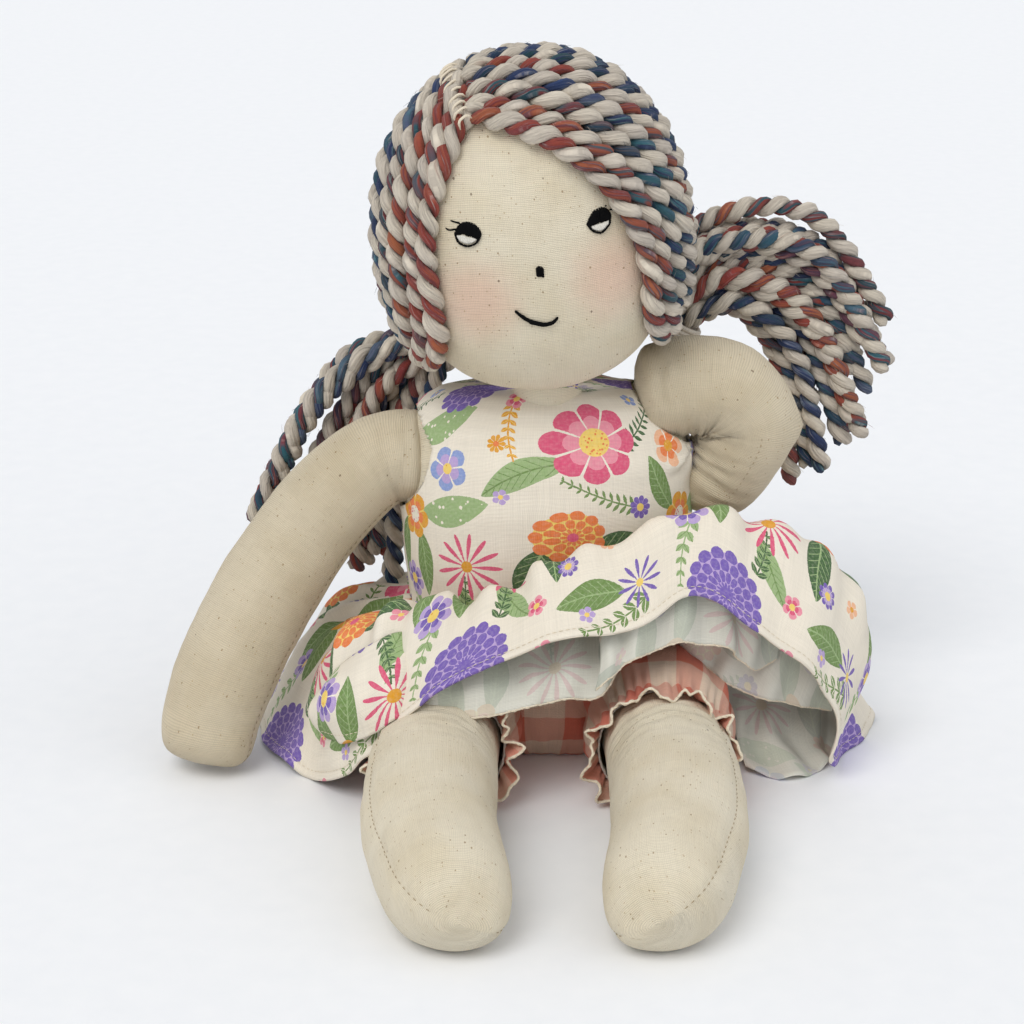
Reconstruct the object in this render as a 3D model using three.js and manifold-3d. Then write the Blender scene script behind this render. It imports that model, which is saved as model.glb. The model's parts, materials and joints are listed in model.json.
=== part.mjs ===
// A soft cloth rag doll that sits on the floor, in millimetres.
// The doll faces -Y, +X is its own left side and +Z is up.
// The origin is the middle of the seat, where the doll rests on the floor.

import * as THREE from 'three';
import { mergeVertices } from 'three/addons/utils/BufferGeometryUtils.js';
import Module from 'manifold-3d';

const wasm = await Module();
wasm.setup();

// Clearances and cloth
const far = 400; // past every edge of the doll
const fit = 0.3; // between pieces that touch
const clothThickness = 1.6; // bodice and bloomers, with their seam turnings
const skirtThickness = 2; // skirt cloth with its turned hem
const floorCut = 0.5; // how deep each stuffed form is pressed flat by the floor

// Torso
const torsoSquareness = 2.4;
const torsoSides = 20;
const socketSides = 24;
const torsoCentreY = 1;
const torsoBottom = clothThickness + fit - floorCut;
const torsoEdge = 3.4; // how high the rounding of the seat's edge starts
const waistZ = 58.5;
const chestZ = 100;
const shoulderZ = 142.5;
const waistHalfWidth = 51;
const chestHalfWidth = 54.6;
const waistHalfDepth = 29;
const chestHalfDepth = 30;
const neckRadius = 15;
const neckPivot = new THREE.Vector3(0, -2, 146);

// Head
const headHalfWidth = 51;
const headHalfDepth = 47;
const headHalfHeight = 58.5;
const headCentre = new THREE.Vector3(0, -4, 58.7); // from the neck pivot
const headRoll = 5.5; // degrees, towards the doll's right shoulder
const headSides = 24;
const headRings = 12;
const cheekFullness = 2.4;
const crownFullness = 2.1;

// Face embroidery, measured from the neck pivot
const threadHeight = 0.8;
const eyeRadius = 4.9;
const eyeOutline = 0.9;
const eyeSpread = 46;
const eyeMiddle = 0.7;
const eyeZ = 68.8;
const eyeLidDrop = 0.6; // how far the black of the eye comes down past its middle
const rightLashes = [{ angle: 140, length: 3.6 }, { angle: 168, length: 3.6 }]; // past the eye's outline
const leftLashes = [{ angle: 28, length: 2 }];
const lashWidth = 1;
const noseWidth = 2.8;
const noseHeight = 4.9;
const noseZ = 53.6;
const noseX = 1.6;
const mouthThickness = 1.5;
const mouthLine = [[-8, 40.4], [-3.5, 35.6], [1.7, 34.2], [6.1, 36.4]];

// Hair
const yarnDiameter = 7.6; // across the flats of a strand's six-sided section
const yarnCorner = yarnDiameter / 2 / Math.cos(Math.PI / 6); // from its middle to a corner
const hairThickness = yarnDiameter;
const partX = -17;
const hairHem = 9; // lowest edge of the hair on the head, above the neck pivot
const faceBackY = -4; // the opening in the hair reaches back to here
const stitchRowWidth = 5;
const stitchRowHeight = 1.2;
const stitchRowFront = -34;
const stitchRowBack = 30;
const stitchRowLow = 70; // the row lies on the crown, above this height
const hairline = [[-16.3, 103.2], [-29.1, 79.7], [-34.1, 58.7], [-33.6, 23.7], [-33, -20],
  [38, -20], [37.8, 30], [35.5, 55.3], [28.5, 77.9], [12.4, 93.5]];

// Bunches of hair. A strand runs between two edge lines, which lie in an upright plane.
const bunchPitch = yarnDiameter + fit;
const bunchRowStep = bunchPitch * Math.sqrt(0.75);
const tieWidth = 5;
const tieThickness = 2.6;
const tieAhead = 1; // from the strands' first ends
const swingStep = 6; // degrees between the places that a bunch's room is cut for
const rightBunch = {
  name: 'right',
  tie: new THREE.Vector3(-38.2, 34, 155.8),
  outerLine: [[-43.8, 161.4], [-53, 152.2], [-76, 142], [-99, 118], [-121, 76]],
  innerLine: [[-32.6, 150.2], [-41.8, 141], [-52, 122], [-60, 96], [-66, 60]],
  rows: [3, 2, 3],
  swing: [0, 50],
};
const leftBunch = {
  name: 'left',
  tie: new THREE.Vector3(44, 34, 158),
  outerLine: [[34, 164.4], [38.3, 171.1], [60, 199], [100, 203], [137, 156]],
  innerLine: [[54, 151.6], [58.3, 158.3], [76, 164], [93, 142], [101, 103]],
  rows: [3, 4, 3],
  swing: [-10, 25],
};

// Arms
const armRadius = 17.5;
const handRadius = 21.5;
const armholeX = chestHalfWidth + fit;
const rightShoulder = new THREE.Vector3(-armholeX, 0, 115);
const leftShoulder = new THREE.Vector3(49, 0, 138.5);
const leftElbow = new THREE.Vector3(77.5, 0, 132);
const leftHand = new THREE.Vector3(76, 0, 100);
const leftUpperMiddle = new THREE.Vector3(64, 0, 141.5);
const leftForearmMiddle = new THREE.Vector3(79, 0, 116);
const rightArmLine = [[-46, 0, 115], [-64, 0, 113], [-84, -7, 97], [-103, -18, 72],
  [-118, -29, 44], [-127, -35, handRadius - floorCut]];
const rightArmRadii = [armRadius, armRadius, 18.5, 20, 21.5, handRadius];

// Legs
const thighRadius = 22;
const footRadius = 21;
const shinRadius = 23;
const hipY = -22;
const hipZ = thighRadius - floorCut;
const rightHipX = -39;
const leftHipX = 42;
const footTurn = 8; // how far the toes turn inwards
const ankleY = -128;
const toeY = -162;
const ankleTurn = 0.2; // share of the toes' turn at the ankle

// Bloomers
const bloomersTop = 53;
const casingHeight = 7;
const casingStitching = 1; // from the casing's edges to its channel
const elasticThickness = 0.9;
const elasticWidth = 4.6;
const cuffEase = 0.8; // between the leg, the cuff's elastic and the cloth over it
const sleeveStart = 3; // along the leg, from the hip
const sleevePuff = 27; // radius at the sides
const sleeveLift = 3; // how much further it stands up on top
const puffRows = [
  { at: 10, drawnIn: 1, wave: 0.4 },
  { at: 20, drawnIn: 0, wave: 0.8 },
  { at: 29, drawnIn: 1, wave: 0.8 },
];
const cuffAt = 38;
const ruffleLength = 10;
const ruffleFlare = 4;
const ruffleDepth = 3.4;
const ruffleWaves = 8;

// Dress
const neckOpening = neckRadius + 3;
const armholeRadius = armRadius + 2.2;
const armholeReach = 40; // how near to the middle of the doll the right armhole cuts in
const closureOverlap = 15;
const closureX = 6;
const snapRadius = 3.2;
const snapThickness = 0.9;
const snapHeights = [72, 98, 124];

// Skirt: each station has its angle on the waist, its highest or widest fold and its hem
const skirtStations = [
  { waist: 0, fold: [92, -2, 66], hem: [131, 2, 1] },
  { waist: 38, fold: [78, 25, 54], hem: [112, 36, 1] },
  { waist: 75, fold: [36, 40, 52], hem: [45, 52, 1] },
  { waist: 110, fold: [-26, 40, 50], hem: [-34, 52, 1] },
  { waist: 148, fold: [-62, 26, 38], hem: [-84, 38, 1] },
  { waist: 180, fold: [-78, 0, 33], hem: [-101, 4, 1] },
  { waist: 200, fold: [-80, -18, 40], hem: [-103, -30, 1] },
  { waist: 214, fold: [-80, -32, 46], hem: [-90, -47, 1] },
  { waist: 226, fold: [-74, -44, 60], hem: [-77, -60, 12] },
  { waist: 238, fold: [-52, -52, 73], hem: [-59, -77, 48] },
  { waist: 252, fold: [-24, -50, 78], hem: [-27, -78, 58.5] },
  { waist: 268, fold: [-2, -48, 88], hem: [0, -76, 69] },
  { waist: 285, fold: [26, -45, 98], hem: [32, -69, 73] },
  { waist: 302, fold: [54, -38, 106], hem: [52, -60, 81] },
  { waist: 316, fold: [76, -32, 102], hem: [72, -64, 72] },
  { waist: 328, fold: [100, -28, 90], hem: [94, -62, 54] },
  { waist: 338, fold: [116, -26, 72], hem: [109, -55, 32] },
  { waist: 346, fold: [120, -24, 52], hem: [106, -47, 8] },
  { waist: 353, fold: [112, -14, 46], hem: [116, -26, 1] },
];
const skirtSpring = 9; // how far the gathers stand out before the cloth turns up or down
const skirtSpringRise = 0.4; // share of that by which they also rise or drop
const skirtAround = 56;
const skirtDown = 8;
const underFoldColumns = 6;
const underFold = {
  near: [[-52, -71, 41.5], [-30, -71, 45], [-6, -68, 49], [12, -66, 52]],
  far: [[-44, -48, 58], [-24, -44, 62], [-2, -42, 66], [20, -42, 68]],
};

// Colours
const skinCloth = new THREE.MeshStandardMaterial({ color: 0xe1d4bc, roughness: 0.95, metalness: 0 });
const dressCloth = new THREE.MeshStandardMaterial({ color: 0xefe6cf, roughness: 0.9, metalness: 0 });
const bloomersCloth = new THREE.MeshStandardMaterial({ color: 0xe08a74, roughness: 0.95, metalness: 0 });
const blackThread = new THREE.MeshStandardMaterial({ color: 0x15141a, roughness: 0.55, metalness: 0 });
const whiteThread = new THREE.MeshStandardMaterial({ color: 0xf2f0ea, roughness: 0.6, metalness: 0 });
const creamThread = new THREE.MeshStandardMaterial({ color: 0xe4ddcf, roughness: 0.85, metalness: 0 });
const yarn = new THREE.MeshStandardMaterial({ color: 0xa07a70, roughness: 0.95, metalness: 0 });
const elastic = new THREE.MeshStandardMaterial({ color: 0xf0eee8, roughness: 0.8, metalness: 0 });
const snapMetal = new THREE.MeshStandardMaterial({ color: 0xb9bcc0, roughness: 0.35, metalness: 1 });

// Solids

function solidOf(geometry) {
  const bare = geometry.clone();
  bare.deleteAttribute('normal');
  bare.deleteAttribute('uv');
  const merged = mergeVertices(bare, 1e-4);
  const vertProperties = new Float32Array(merged.attributes.position.array);
  const triVerts = new Uint32Array(merged.index.array);
  return new wasm.Manifold(new wasm.Mesh({ numProp: 3, vertProperties, triVerts }));
}

function geometryOf(solid) {
  const mesh = solid.getMesh();
  const geometry = new THREE.BufferGeometry();
  const places = new THREE.BufferAttribute(new Float32Array(mesh.vertProperties), mesh.numProp);
  geometry.setAttribute('position', places);
  geometry.setIndex(Array.from(mesh.triVerts));
  geometry.computeVertexNormals();
  return geometry;
}

function largestPiece(solid) {
  const pieces = solid.decompose();
  pieces.sort((a, b) => b.volume() - a.volume());
  return pieces[0];
}

function boxSolid(low, high) {
  const size = low.map((value, axis) => high[axis] - value);
  const box = new THREE.BoxGeometry(...size);
  box.translate(...low.map((value, axis) => value + size[axis] / 2));
  return solidOf(box);
}

const aboveFloor = boxSolid([-far, -far, 0], [far, far, far]);

// A cylinder along X, through the point (y, z)
function crossCylinder(radius, x0, x1, y, z) {
  const cylinder = new THREE.CylinderGeometry(radius, radius, x1 - x0, socketSides);
  cylinder.rotateZ(Math.PI / 2);
  cylinder.translate((x0 + x1) / 2, y, z);
  return solidOf(cylinder);
}

// A closed body through a stack of rings with the same number of points, closed by a point at each end
function ringsBody(rings) {
  const around = rings[0].length;
  const places = [];
  rings.forEach((ring) => ring.forEach((p) => places.push(p.x, p.y, p.z)));
  const faces = [];
  for (let i = 0; i + 1 < rings.length; i += 1) {
    for (let j = 0; j < around; j += 1) {
      const a = i * around + j;
      const b = i * around + ((j + 1) % around);
      faces.push(a, b, b + around, a, b + around, a + around);
    }
  }
  const ends = [rings[0], rings[rings.length - 1]];
  ends.forEach((ring, end) => {
    const middle = ring.reduce((sum, p) => sum.add(p), new THREE.Vector3()).divideScalar(around);
    const tip = places.length / 3;
    places.push(middle.x, middle.y, middle.z);
    const start = end * (rings.length - 1) * around;
    for (let j = 0; j < around; j += 1) {
      const a = start + j;
      const b = start + ((j + 1) % around);
      faces.push(...(end ? [tip, a, b] : [tip, b, a]));
    }
  });
  const geometry = new THREE.BufferGeometry();
  geometry.setAttribute('position', new THREE.Float32BufferAttribute(places, 3));
  geometry.setIndex(faces);
  return geometry;
}

// A sheet of cloth through a grid of points, given its thickness to both sides.
// Its columns close into a ring if wrap is true.
function clothSheet(grid, thickness, wrap) {
  const rows = grid.length;
  const columns = grid[0].length;
  const at = (i, j) => grid[i][wrap ? (j + columns) % columns : Math.min(Math.max(j, 0), columns - 1)];
  const places = [];
  [1, -1].forEach((side) => {
    for (let i = 0; i < rows; i += 1) {
      for (let j = 0; j < columns; j += 1) {
        const along = at(i, j + 1).clone().sub(at(i, j - 1));
        const down = at(Math.min(i + 1, rows - 1), j).clone().sub(at(Math.max(i - 1, 0), j));
        const normal = down.cross(along).normalize();
        const p = at(i, j).clone().addScaledVector(normal, (side * thickness) / 2);
        places.push(p.x, p.y, p.z);
      }
    }
  });
  const layer = rows * columns;
  const spans = wrap ? columns : columns - 1;
  const faces = [];
  const quad = (a, b, c, d) => faces.push(a, b, c, a, c, d);
  for (let j = 0; j < spans; j += 1) {
    const next = (j + 1) % columns;
    for (let i = 0; i + 1 < rows; i += 1) {
      const a = i * columns + j;
      const b = i * columns + next;
      quad(a, a + columns, b + columns, b);
      quad(layer + a, layer + b, layer + b + columns, layer + a + columns);
    }
    const last = (rows - 1) * columns;
    quad(j, next, layer + next, layer + j);
    quad(last + next, last + j, layer + last + j, layer + last + next);
  }
  if (!wrap) {
    for (let i = 0; i + 1 < rows; i += 1) {
      const a = i * columns;
      const b = a + columns - 1;
      quad(a + columns, a, layer + a, layer + a + columns);
      quad(b, b + columns, layer + b + columns, layer + b);
    }
  }
  const geometry = new THREE.BufferGeometry();
  geometry.setAttribute('position', new THREE.Float32BufferAttribute(places, 3));
  geometry.setIndex(faces);
  return geometry;
}

// A stuffed limb: round sections along a smooth line, with a ball end at either end that asks for one
function limb(line, radii, { rings = 12, sides = 16, ballStart = true, ballEnd = true } = {}) {
  const curve = new THREE.CatmullRomCurve3(line.map((p) => new THREE.Vector3(...p)), false, 'centripetal');
  const frames = curve.computeFrenetFrames(rings, false);
  const radiusAt = (t) => {
    const at = t * (radii.length - 1);
    const low = Math.min(Math.floor(at), radii.length - 2);
    return THREE.MathUtils.lerp(radii[low], radii[low + 1], at - low);
  };
  const section = (centre, frame, radius) => {
    const ring = [];
    for (let j = 0; j < sides; j += 1) {
      const angle = (2 * Math.PI * j) / sides;
      ring.push(centre.clone()
        .addScaledVector(frames.normals[frame], Math.cos(angle) * radius)
        .addScaledVector(frames.binormals[frame], Math.sin(angle) * radius));
    }
    return ring;
  };
  const body = [];
  const capAngles = [75, 50, 25];
  const cap = (frame, radius, way) => capAngles.map((degrees) => {
    const angle = THREE.MathUtils.degToRad(degrees);
    const centre = curve.getPointAt(frame / rings)
      .addScaledVector(frames.tangents[frame], way * radius * Math.sin(angle));
    return section(centre, frame, radius * Math.cos(angle));
  });
  if (ballStart) body.push(...cap(0, radiusAt(0), -1));
  for (let i = 0; i <= rings; i += 1) body.push(section(curve.getPointAt(i / rings), i, radiusAt(i / rings)));
  if (ballEnd) body.push(...cap(rings, radiusAt(1), 1).reverse());
  return ringsBody(body);
}

// Torso

// Each row's height, then its half sizes as shares of the chest's
const torsoProfile = [
  { z: torsoBottom, wide: 0.623, deep: 0.733 },
  { z: torsoBottom + torsoEdge, wide: 0.788, deep: 0.9 },
  { z: waistZ * 0.22, wide: 0.907, deep: 1.017 },
  { z: waistZ * 0.51, wide: 0.971, deep: 1.067 },
  { z: waistZ * 0.79, wide: 0.952, deep: 1.033 },
  { z: waistZ, wide: waistHalfWidth / chestHalfWidth, deep: waistHalfDepth / chestHalfDepth },
  { z: THREE.MathUtils.lerp(waistZ, chestZ, 0.42), wide: 0.978, deep: 1 },
  { z: chestZ, wide: 1, deep: 1 },
  { z: THREE.MathUtils.lerp(chestZ, shoulderZ, 0.42), wide: 0.989, deep: 0.917 },
  { z: THREE.MathUtils.lerp(chestZ, shoulderZ, 0.7), wide: 0.925, deep: 0.75 },
  { z: THREE.MathUtils.lerp(chestZ, shoulderZ, 0.87), wide: 0.833, deep: 0.583 },
  { z: THREE.MathUtils.lerp(chestZ, shoulderZ, 0.965), wide: 0.714, deep: 0.417 },
  { z: shoulderZ, wide: 0.568, deep: 0.267 },
].map(({ z, wide, deep }) => ({ z, wide: wide * chestHalfWidth, deep: deep * chestHalfDepth }));

function profileOffset(rows, key, index, offset) {
  const before = index > 0 ? rows[index - 1] : { z: rows[0].z, [key]: 0 };
  const after = index + 1 < rows.length ? rows[index + 1] : { z: rows[index].z, [key]: 0 };
  const rise = after.z - before.z;
  const run = after[key] - before[key];
  const length = Math.hypot(rise, run);
  return { out: (offset * rise) / length, up: (-offset * run) / length };
}

// A point on the torso's surface, or outside it by an offset
function torsoPoint(row, angle, offset) {
  const wide = profileOffset(torsoProfile, 'wide', row, offset);
  const deep = profileOffset(torsoProfile, 'deep', row, offset);
  const share = Math.cos(angle) ** 2;
  const power = 2 / torsoSquareness;
  const round = (value) => Math.sign(value) * Math.abs(value) ** power;
  return new THREE.Vector3(
    (torsoProfile[row].wide + wide.out) * round(Math.cos(angle)),
    torsoCentreY + (torsoProfile[row].deep + deep.out) * round(Math.sin(angle)),
    torsoProfile[row].z + wide.up * share + deep.up * (1 - share),
  );
}

function torsoForm(offset) {
  const rings = torsoProfile.map((_, row) => {
    const ring = [];
    for (let j = 0; j < torsoSides; j += 1) ring.push(torsoPoint(row, (2 * Math.PI * j) / torsoSides, offset));
    return ring;
  });
  return solidOf(ringsBody(rings));
}

function torsoShell(inner, outer) {
  return torsoForm(outer).subtract(torsoForm(inner));
}

function sphereSolid(radius, centre, sides = 20) {
  return solidOf(new THREE.SphereGeometry(radius, sides, sides / 2).translate(...centre.toArray()));
}

// The room at the front of the seat that a leg and its puffed sleeve turn in
const socketRadius = thighRadius + clothThickness + 2 * fit;
const sleeveRoom = sleevePuff + sleeveLift + clothThickness + fit;
const sleeveHalfWidth = sleevePuff + clothThickness / 2 + 2 * fit;
const crotchStrip = boxSolid([rightHipX + sleeveHalfWidth, -far, -far], [leftHipX - sleeveHalfWidth, far, far]);
const hipSocket = crossCylinder(socketRadius, -far, far, hipY, hipZ)
  .add(boxSolid([-far, -far, -far], [far, hipY + socketRadius, hipZ]))
  .add(boxSolid([-far, -far, -far], [far, hipY - sleeveStart + fit, hipZ + sleeveRoom]))
  .subtract(crotchStrip);
const shoulderSocket = sphereSolid(armRadius + 2 * fit, leftShoulder, socketSides);

function torsoSolid() {
  return torsoForm(0).add(sphereSolid(neckRadius, neckPivot)).subtract(hipSocket).subtract(shoulderSocket);
}

// Head

function headForm(offset) {
  const body = [];
  for (let i = 1; i < headRings; i += 1) {
    const polar = -Math.PI / 2 + (Math.PI * i) / headRings;
    const power = 2 / (polar < 0 ? cheekFullness : crownFullness);
    const spread = Math.cos(polar) ** power;
    const height = Math.sign(polar) * Math.abs(Math.sin(polar)) ** power;
    const ring = [];
    for (let j = 0; j < headSides; j += 1) {
      const angle = (2 * Math.PI * j) / headSides;
      ring.push(new THREE.Vector3(
        headCentre.x + (headHalfWidth + offset) * spread * Math.cos(angle),
        headCentre.y + (headHalfDepth + offset) * spread * Math.sin(angle),
        headCentre.z + (headHalfHeight + offset) * height,
      ));
    }
    body.push(ring);
  }
  return solidOf(ringsBody(body));
}

function headSolid() {
  return headForm(0).subtract(sphereSolid(neckRadius + fit, new THREE.Vector3()));
}

// An upright outline pushed through the face from front to back
function facePrism(shape) {
  const prism = new THREE.ExtrudeGeometry(shape, { depth: far, bevelEnabled: false, curveSegments: 6 });
  prism.rotateX(Math.PI / 2);
  prism.translate(0, faceBackY, 0);
  return solidOf(prism);
}

function circleShape(x, z, radius) {
  const shape = new THREE.Shape();
  shape.absarc(x, z, radius, 0, 2 * Math.PI, false);
  return shape;
}

function barShape(from, to, width) {
  const along = new THREE.Vector2(to[0] - from[0], to[1] - from[1]).normalize();
  const across = new THREE.Vector2(-along.y, along.x).multiplyScalar(width / 2);
  return new THREE.Shape([
    new THREE.Vector2(from[0] - across.x, from[1] - across.y),
    new THREE.Vector2(to[0] - across.x, to[1] - across.y),
    new THREE.Vector2(to[0] + across.x, to[1] + across.y),
    new THREE.Vector2(from[0] + across.x, from[1] + across.y),
  ]);
}

const threadLayer = headForm(fit + threadHeight).subtract(headForm(fit));

function eyeX(side) {
  return eyeMiddle + (side * eyeSpread) / 2;
}

function eyeWhiteOutline(side, margin) {
  const white = facePrism(circleShape(eyeX(side), eyeZ, eyeRadius - eyeOutline + margin));
  const lid = eyeZ - eyeLidDrop + margin;
  return white.intersect(boxSolid([-far, -far, -far], [far, far, lid]));
}

// The lashes are short stitches that start at the eye's outline
function eyeBlack(side, lashes) {
  const middle = [eyeX(side), eyeZ];
  let outline = facePrism(circleShape(...middle, eyeRadius));
  lashes.forEach(({ angle, length }) => {
    const turn = THREE.MathUtils.degToRad(angle);
    const way = [Math.cos(turn), Math.sin(turn)];
    const start = way.map((value, axis) => middle[axis] + value * (eyeRadius - eyeOutline));
    const end = way.map((value, axis) => middle[axis] + value * (eyeRadius + length));
    outline = outline.add(facePrism(barShape(start, end, lashWidth)));
  });
  return threadLayer.intersect(outline).subtract(eyeWhiteOutline(side, fit));
}

function eyeWhite(side) {
  return threadLayer.intersect(eyeWhiteOutline(side, 0));
}

function nose() {
  const shape = new THREE.Shape();
  shape.absellipse(noseX, noseZ, noseWidth / 2, noseHeight / 2, 0, 2 * Math.PI, false);
  return threadLayer.intersect(facePrism(shape));
}

function mouth() {
  const line = new THREE.SplineCurve(mouthLine.map((p) => new THREE.Vector2(...p)));
  const steps = 8;
  const upper = [];
  const lower = [];
  for (let i = 0; i <= steps; i += 1) {
    const p = line.getPoint(i / steps);
    const t = line.getTangent(i / steps);
    const across = new THREE.Vector2(-t.y, t.x).multiplyScalar(mouthThickness / 2);
    upper.push(p.clone().add(across));
    lower.unshift(p.clone().sub(across));
  }
  return threadLayer.intersect(facePrism(new THREE.Shape([...lower.reverse(), ...upper.reverse()])));
}

// Hair on the head: one cap on each side of the part

const faceWindow = facePrism(new THREE.Shape(hairline.map((p) => new THREE.Vector2(...p))));

const toHead = new THREE.Matrix4()
  .makeTranslation(neckPivot.x, neckPivot.y, neckPivot.z)
  .multiply(new THREE.Matrix4().makeRotationY(THREE.MathUtils.degToRad(-headRoll)))
  .invert();

function bunchHalfWidth(bunch) {
  return ((Math.max(...bunch.rows) - 1) * bunchPitch) / 2 + yarnCorner;
}

// From a bunch's own frame to the doll's: X across its strands, Y back and Z along them, from their first ends
function bunchFrame(bunch) {
  const [first, second] = bunch.outerLine;
  const along = new THREE.Vector3(second[0] - first[0], 0, second[1] - first[1]).normalize();
  const back = new THREE.Vector3(0, 1, 0);
  return new THREE.Matrix4().makeBasis(back.clone().cross(along), back, along).setPosition(bunch.tie);
}

// What a bunch's tie and the first of its strands sweep as it swings, as seen from the head
function bunchRoom(bunch) {
  const wide = bunchHalfWidth(bunch) + tieThickness + 2.5 * fit;
  const deep = bunchRowStep + yarnCorner + tieThickness + 2.5 * fit;
  const steps = Math.ceil((bunch.swing[1] - bunch.swing[0]) / swingStep);
  let room = null;
  for (let i = 0; i <= steps; i += 1) {
    const angle = THREE.MathUtils.degToRad(THREE.MathUtils.lerp(...bunch.swing, i / steps));
    const block = new THREE.BoxGeometry(2 * wide, far, wide + fit);
    block.translate(0, far / 2 - deep, (wide - fit) / 2);
    block.applyMatrix4(bunchFrame(bunch));
    block.translate(-bunch.tie.x, 0, -bunch.tie.z);
    block.rotateY(angle);
    block.translate(bunch.tie.x, 0, bunch.tie.z);
    block.applyMatrix4(toHead);
    room = room ? room.add(solidOf(block)) : solidOf(block);
  }
  return room;
}

function hairSide(side) {
  let hair = headForm(fit + hairThickness).subtract(headForm(fit)).subtract(faceWindow);
  const edge = partX + (side * fit) / 2;
  const keep = side > 0
    ? boxSolid([edge, -far, hairHem], [far, far, far])
    : boxSolid([-far, -far, hairHem], [edge, far, far]);
  [rightBunch, leftBunch].forEach((bunch) => {
    hair = hair.subtract(bunchRoom(bunch));
  });
  return largestPiece(hair.intersect(keep));
}

function partStitching() {
  const low = 2 * fit + hairThickness;
  const row = headForm(low + stitchRowHeight).subtract(headForm(low));
  const halfWidth = stitchRowWidth / 2;
  return largestPiece(row.intersect(boxSolid(
    [partX - halfWidth, stitchRowFront, stitchRowLow],
    [partX + halfWidth, stitchRowBack, far],
  )));
}

// Bunches

function strandLine(bunch, share, depth) {
  return bunch.outerLine.map((outer, i) => {
    const inner = bunch.innerLine[i];
    return [
      THREE.MathUtils.lerp(inner[0], outer[0], share),
      bunch.tie.y + depth,
      THREE.MathUtils.lerp(inner[1], outer[1], share),
    ];
  });
}

function strands(bunch) {
  const widest = Math.max(...bunch.rows);
  const made = [];
  bunch.rows.forEach((count, row) => {
    const depth = (row - (bunch.rows.length - 1) / 2) * bunchRowStep;
    for (let k = 0; k < count; k += 1) {
      const share = 0.5 + (k - (count - 1) / 2) / (widest - 1);
      const line = strandLine(bunch, share, depth);
      made.push(limb(line, [yarnCorner, yarnCorner],
        { rings: 9, sides: 6, ballStart: false, ballEnd: false }));
    }
  });
  return made;
}

// The tie is a flattened elastic ring round all of a bunch's strands
function bunchTie(bunch) {
  const rounded = (extra) => {
    const wide = bunchHalfWidth(bunch) + extra;
    const deep = bunchRowStep + yarnCorner + extra;
    const corner = yarnCorner + extra;
    const shape = new THREE.Shape();
    shape.absarc(wide - corner, deep - corner, corner, 0, Math.PI / 2, false);
    shape.absarc(corner - wide, deep - corner, corner, Math.PI / 2, Math.PI, false);
    shape.absarc(corner - wide, corner - deep, corner, Math.PI, 1.5 * Math.PI, false);
    shape.absarc(wide - corner, corner - deep, corner, 1.5 * Math.PI, 2 * Math.PI, false);
    return shape;
  };
  const ring = rounded(1.5 * fit + tieThickness);
  ring.holes.push(rounded(1.5 * fit));
  const geometry = new THREE.ExtrudeGeometry(ring, { depth: tieWidth, bevelEnabled: false, curveSegments: 4 });
  geometry.translate(0, 0, tieAhead);
  geometry.applyMatrix4(bunchFrame(bunch));
  return geometry;
}

// Arms

function rightArm() {
  const whole = solidOf(limb(rightArmLine, rightArmRadii, { ballStart: false, rings: 13 }));
  const beyondShoulder = boxSolid([-far, -far, 0], [rightShoulder.x, far, far]);
  return whole.intersect(beyondShoulder);
}

// The left arm is folded at the elbow, with its hand tucked in at the waist
function leftArm() {
  const half = (start, middle, end) => solidOf(limb([start, middle, end].map((p) => p.toArray()),
    [armRadius, armRadius], { rings: 5 }));
  return half(leftShoulder, leftUpperMiddle, leftElbow).add(half(leftElbow, leftForearmMiddle, leftHand));
}

// Legs

function leg(hipX, inward) {
  const line = [
    [hipX, hipY, hipZ],
    [hipX, hipY - cuffAt / 2, hipZ],
    [hipX, hipY - cuffAt, hipZ],
    [hipX, (hipY + ankleY) / 2, shinRadius - floorCut],
    [hipX + inward * ankleTurn * footTurn, ankleY, shinRadius - floorCut],
    [hipX + inward * footTurn, toeY, footRadius - floorCut],
  ];
  const radii = [thighRadius, thighRadius, shinRadius, shinRadius, footRadius];
  return solidOf(limb(line, radii, { rings: 9, sides: 16 })).intersect(aboveFloor);
}

// Bloomers

function bloomersSeat() {
  const casingLow = bloomersTop - casingHeight;
  const inner = fit;
  const cloth = torsoShell(inner, inner + clothThickness)
    .intersect(boxSolid([-far, -far, 0], [far, far, bloomersTop]));
  const casing = torsoShell(inner, inner + elasticThickness + 2 * fit + clothThickness)
    .intersect(boxSolid([-far, -far, casingLow], [far, far, bloomersTop]));
  const channel = torsoShell(inner - fit, inner + elasticThickness + 2 * fit)
    .intersect(boxSolid([-far, -far, casingLow + casingStitching], [far, far, bloomersTop - casingStitching]));
  return largestPiece(cloth.add(casing).subtract(channel).subtract(hipSocket));
}

function waistElastic() {
  const middle = bloomersTop - casingHeight / 2;
  return torsoShell(fit, fit + elasticThickness)
    .intersect(boxSolid([-far, -far, middle - elasticWidth / 2], [far, far, middle + elasticWidth / 2]));
}

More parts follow.
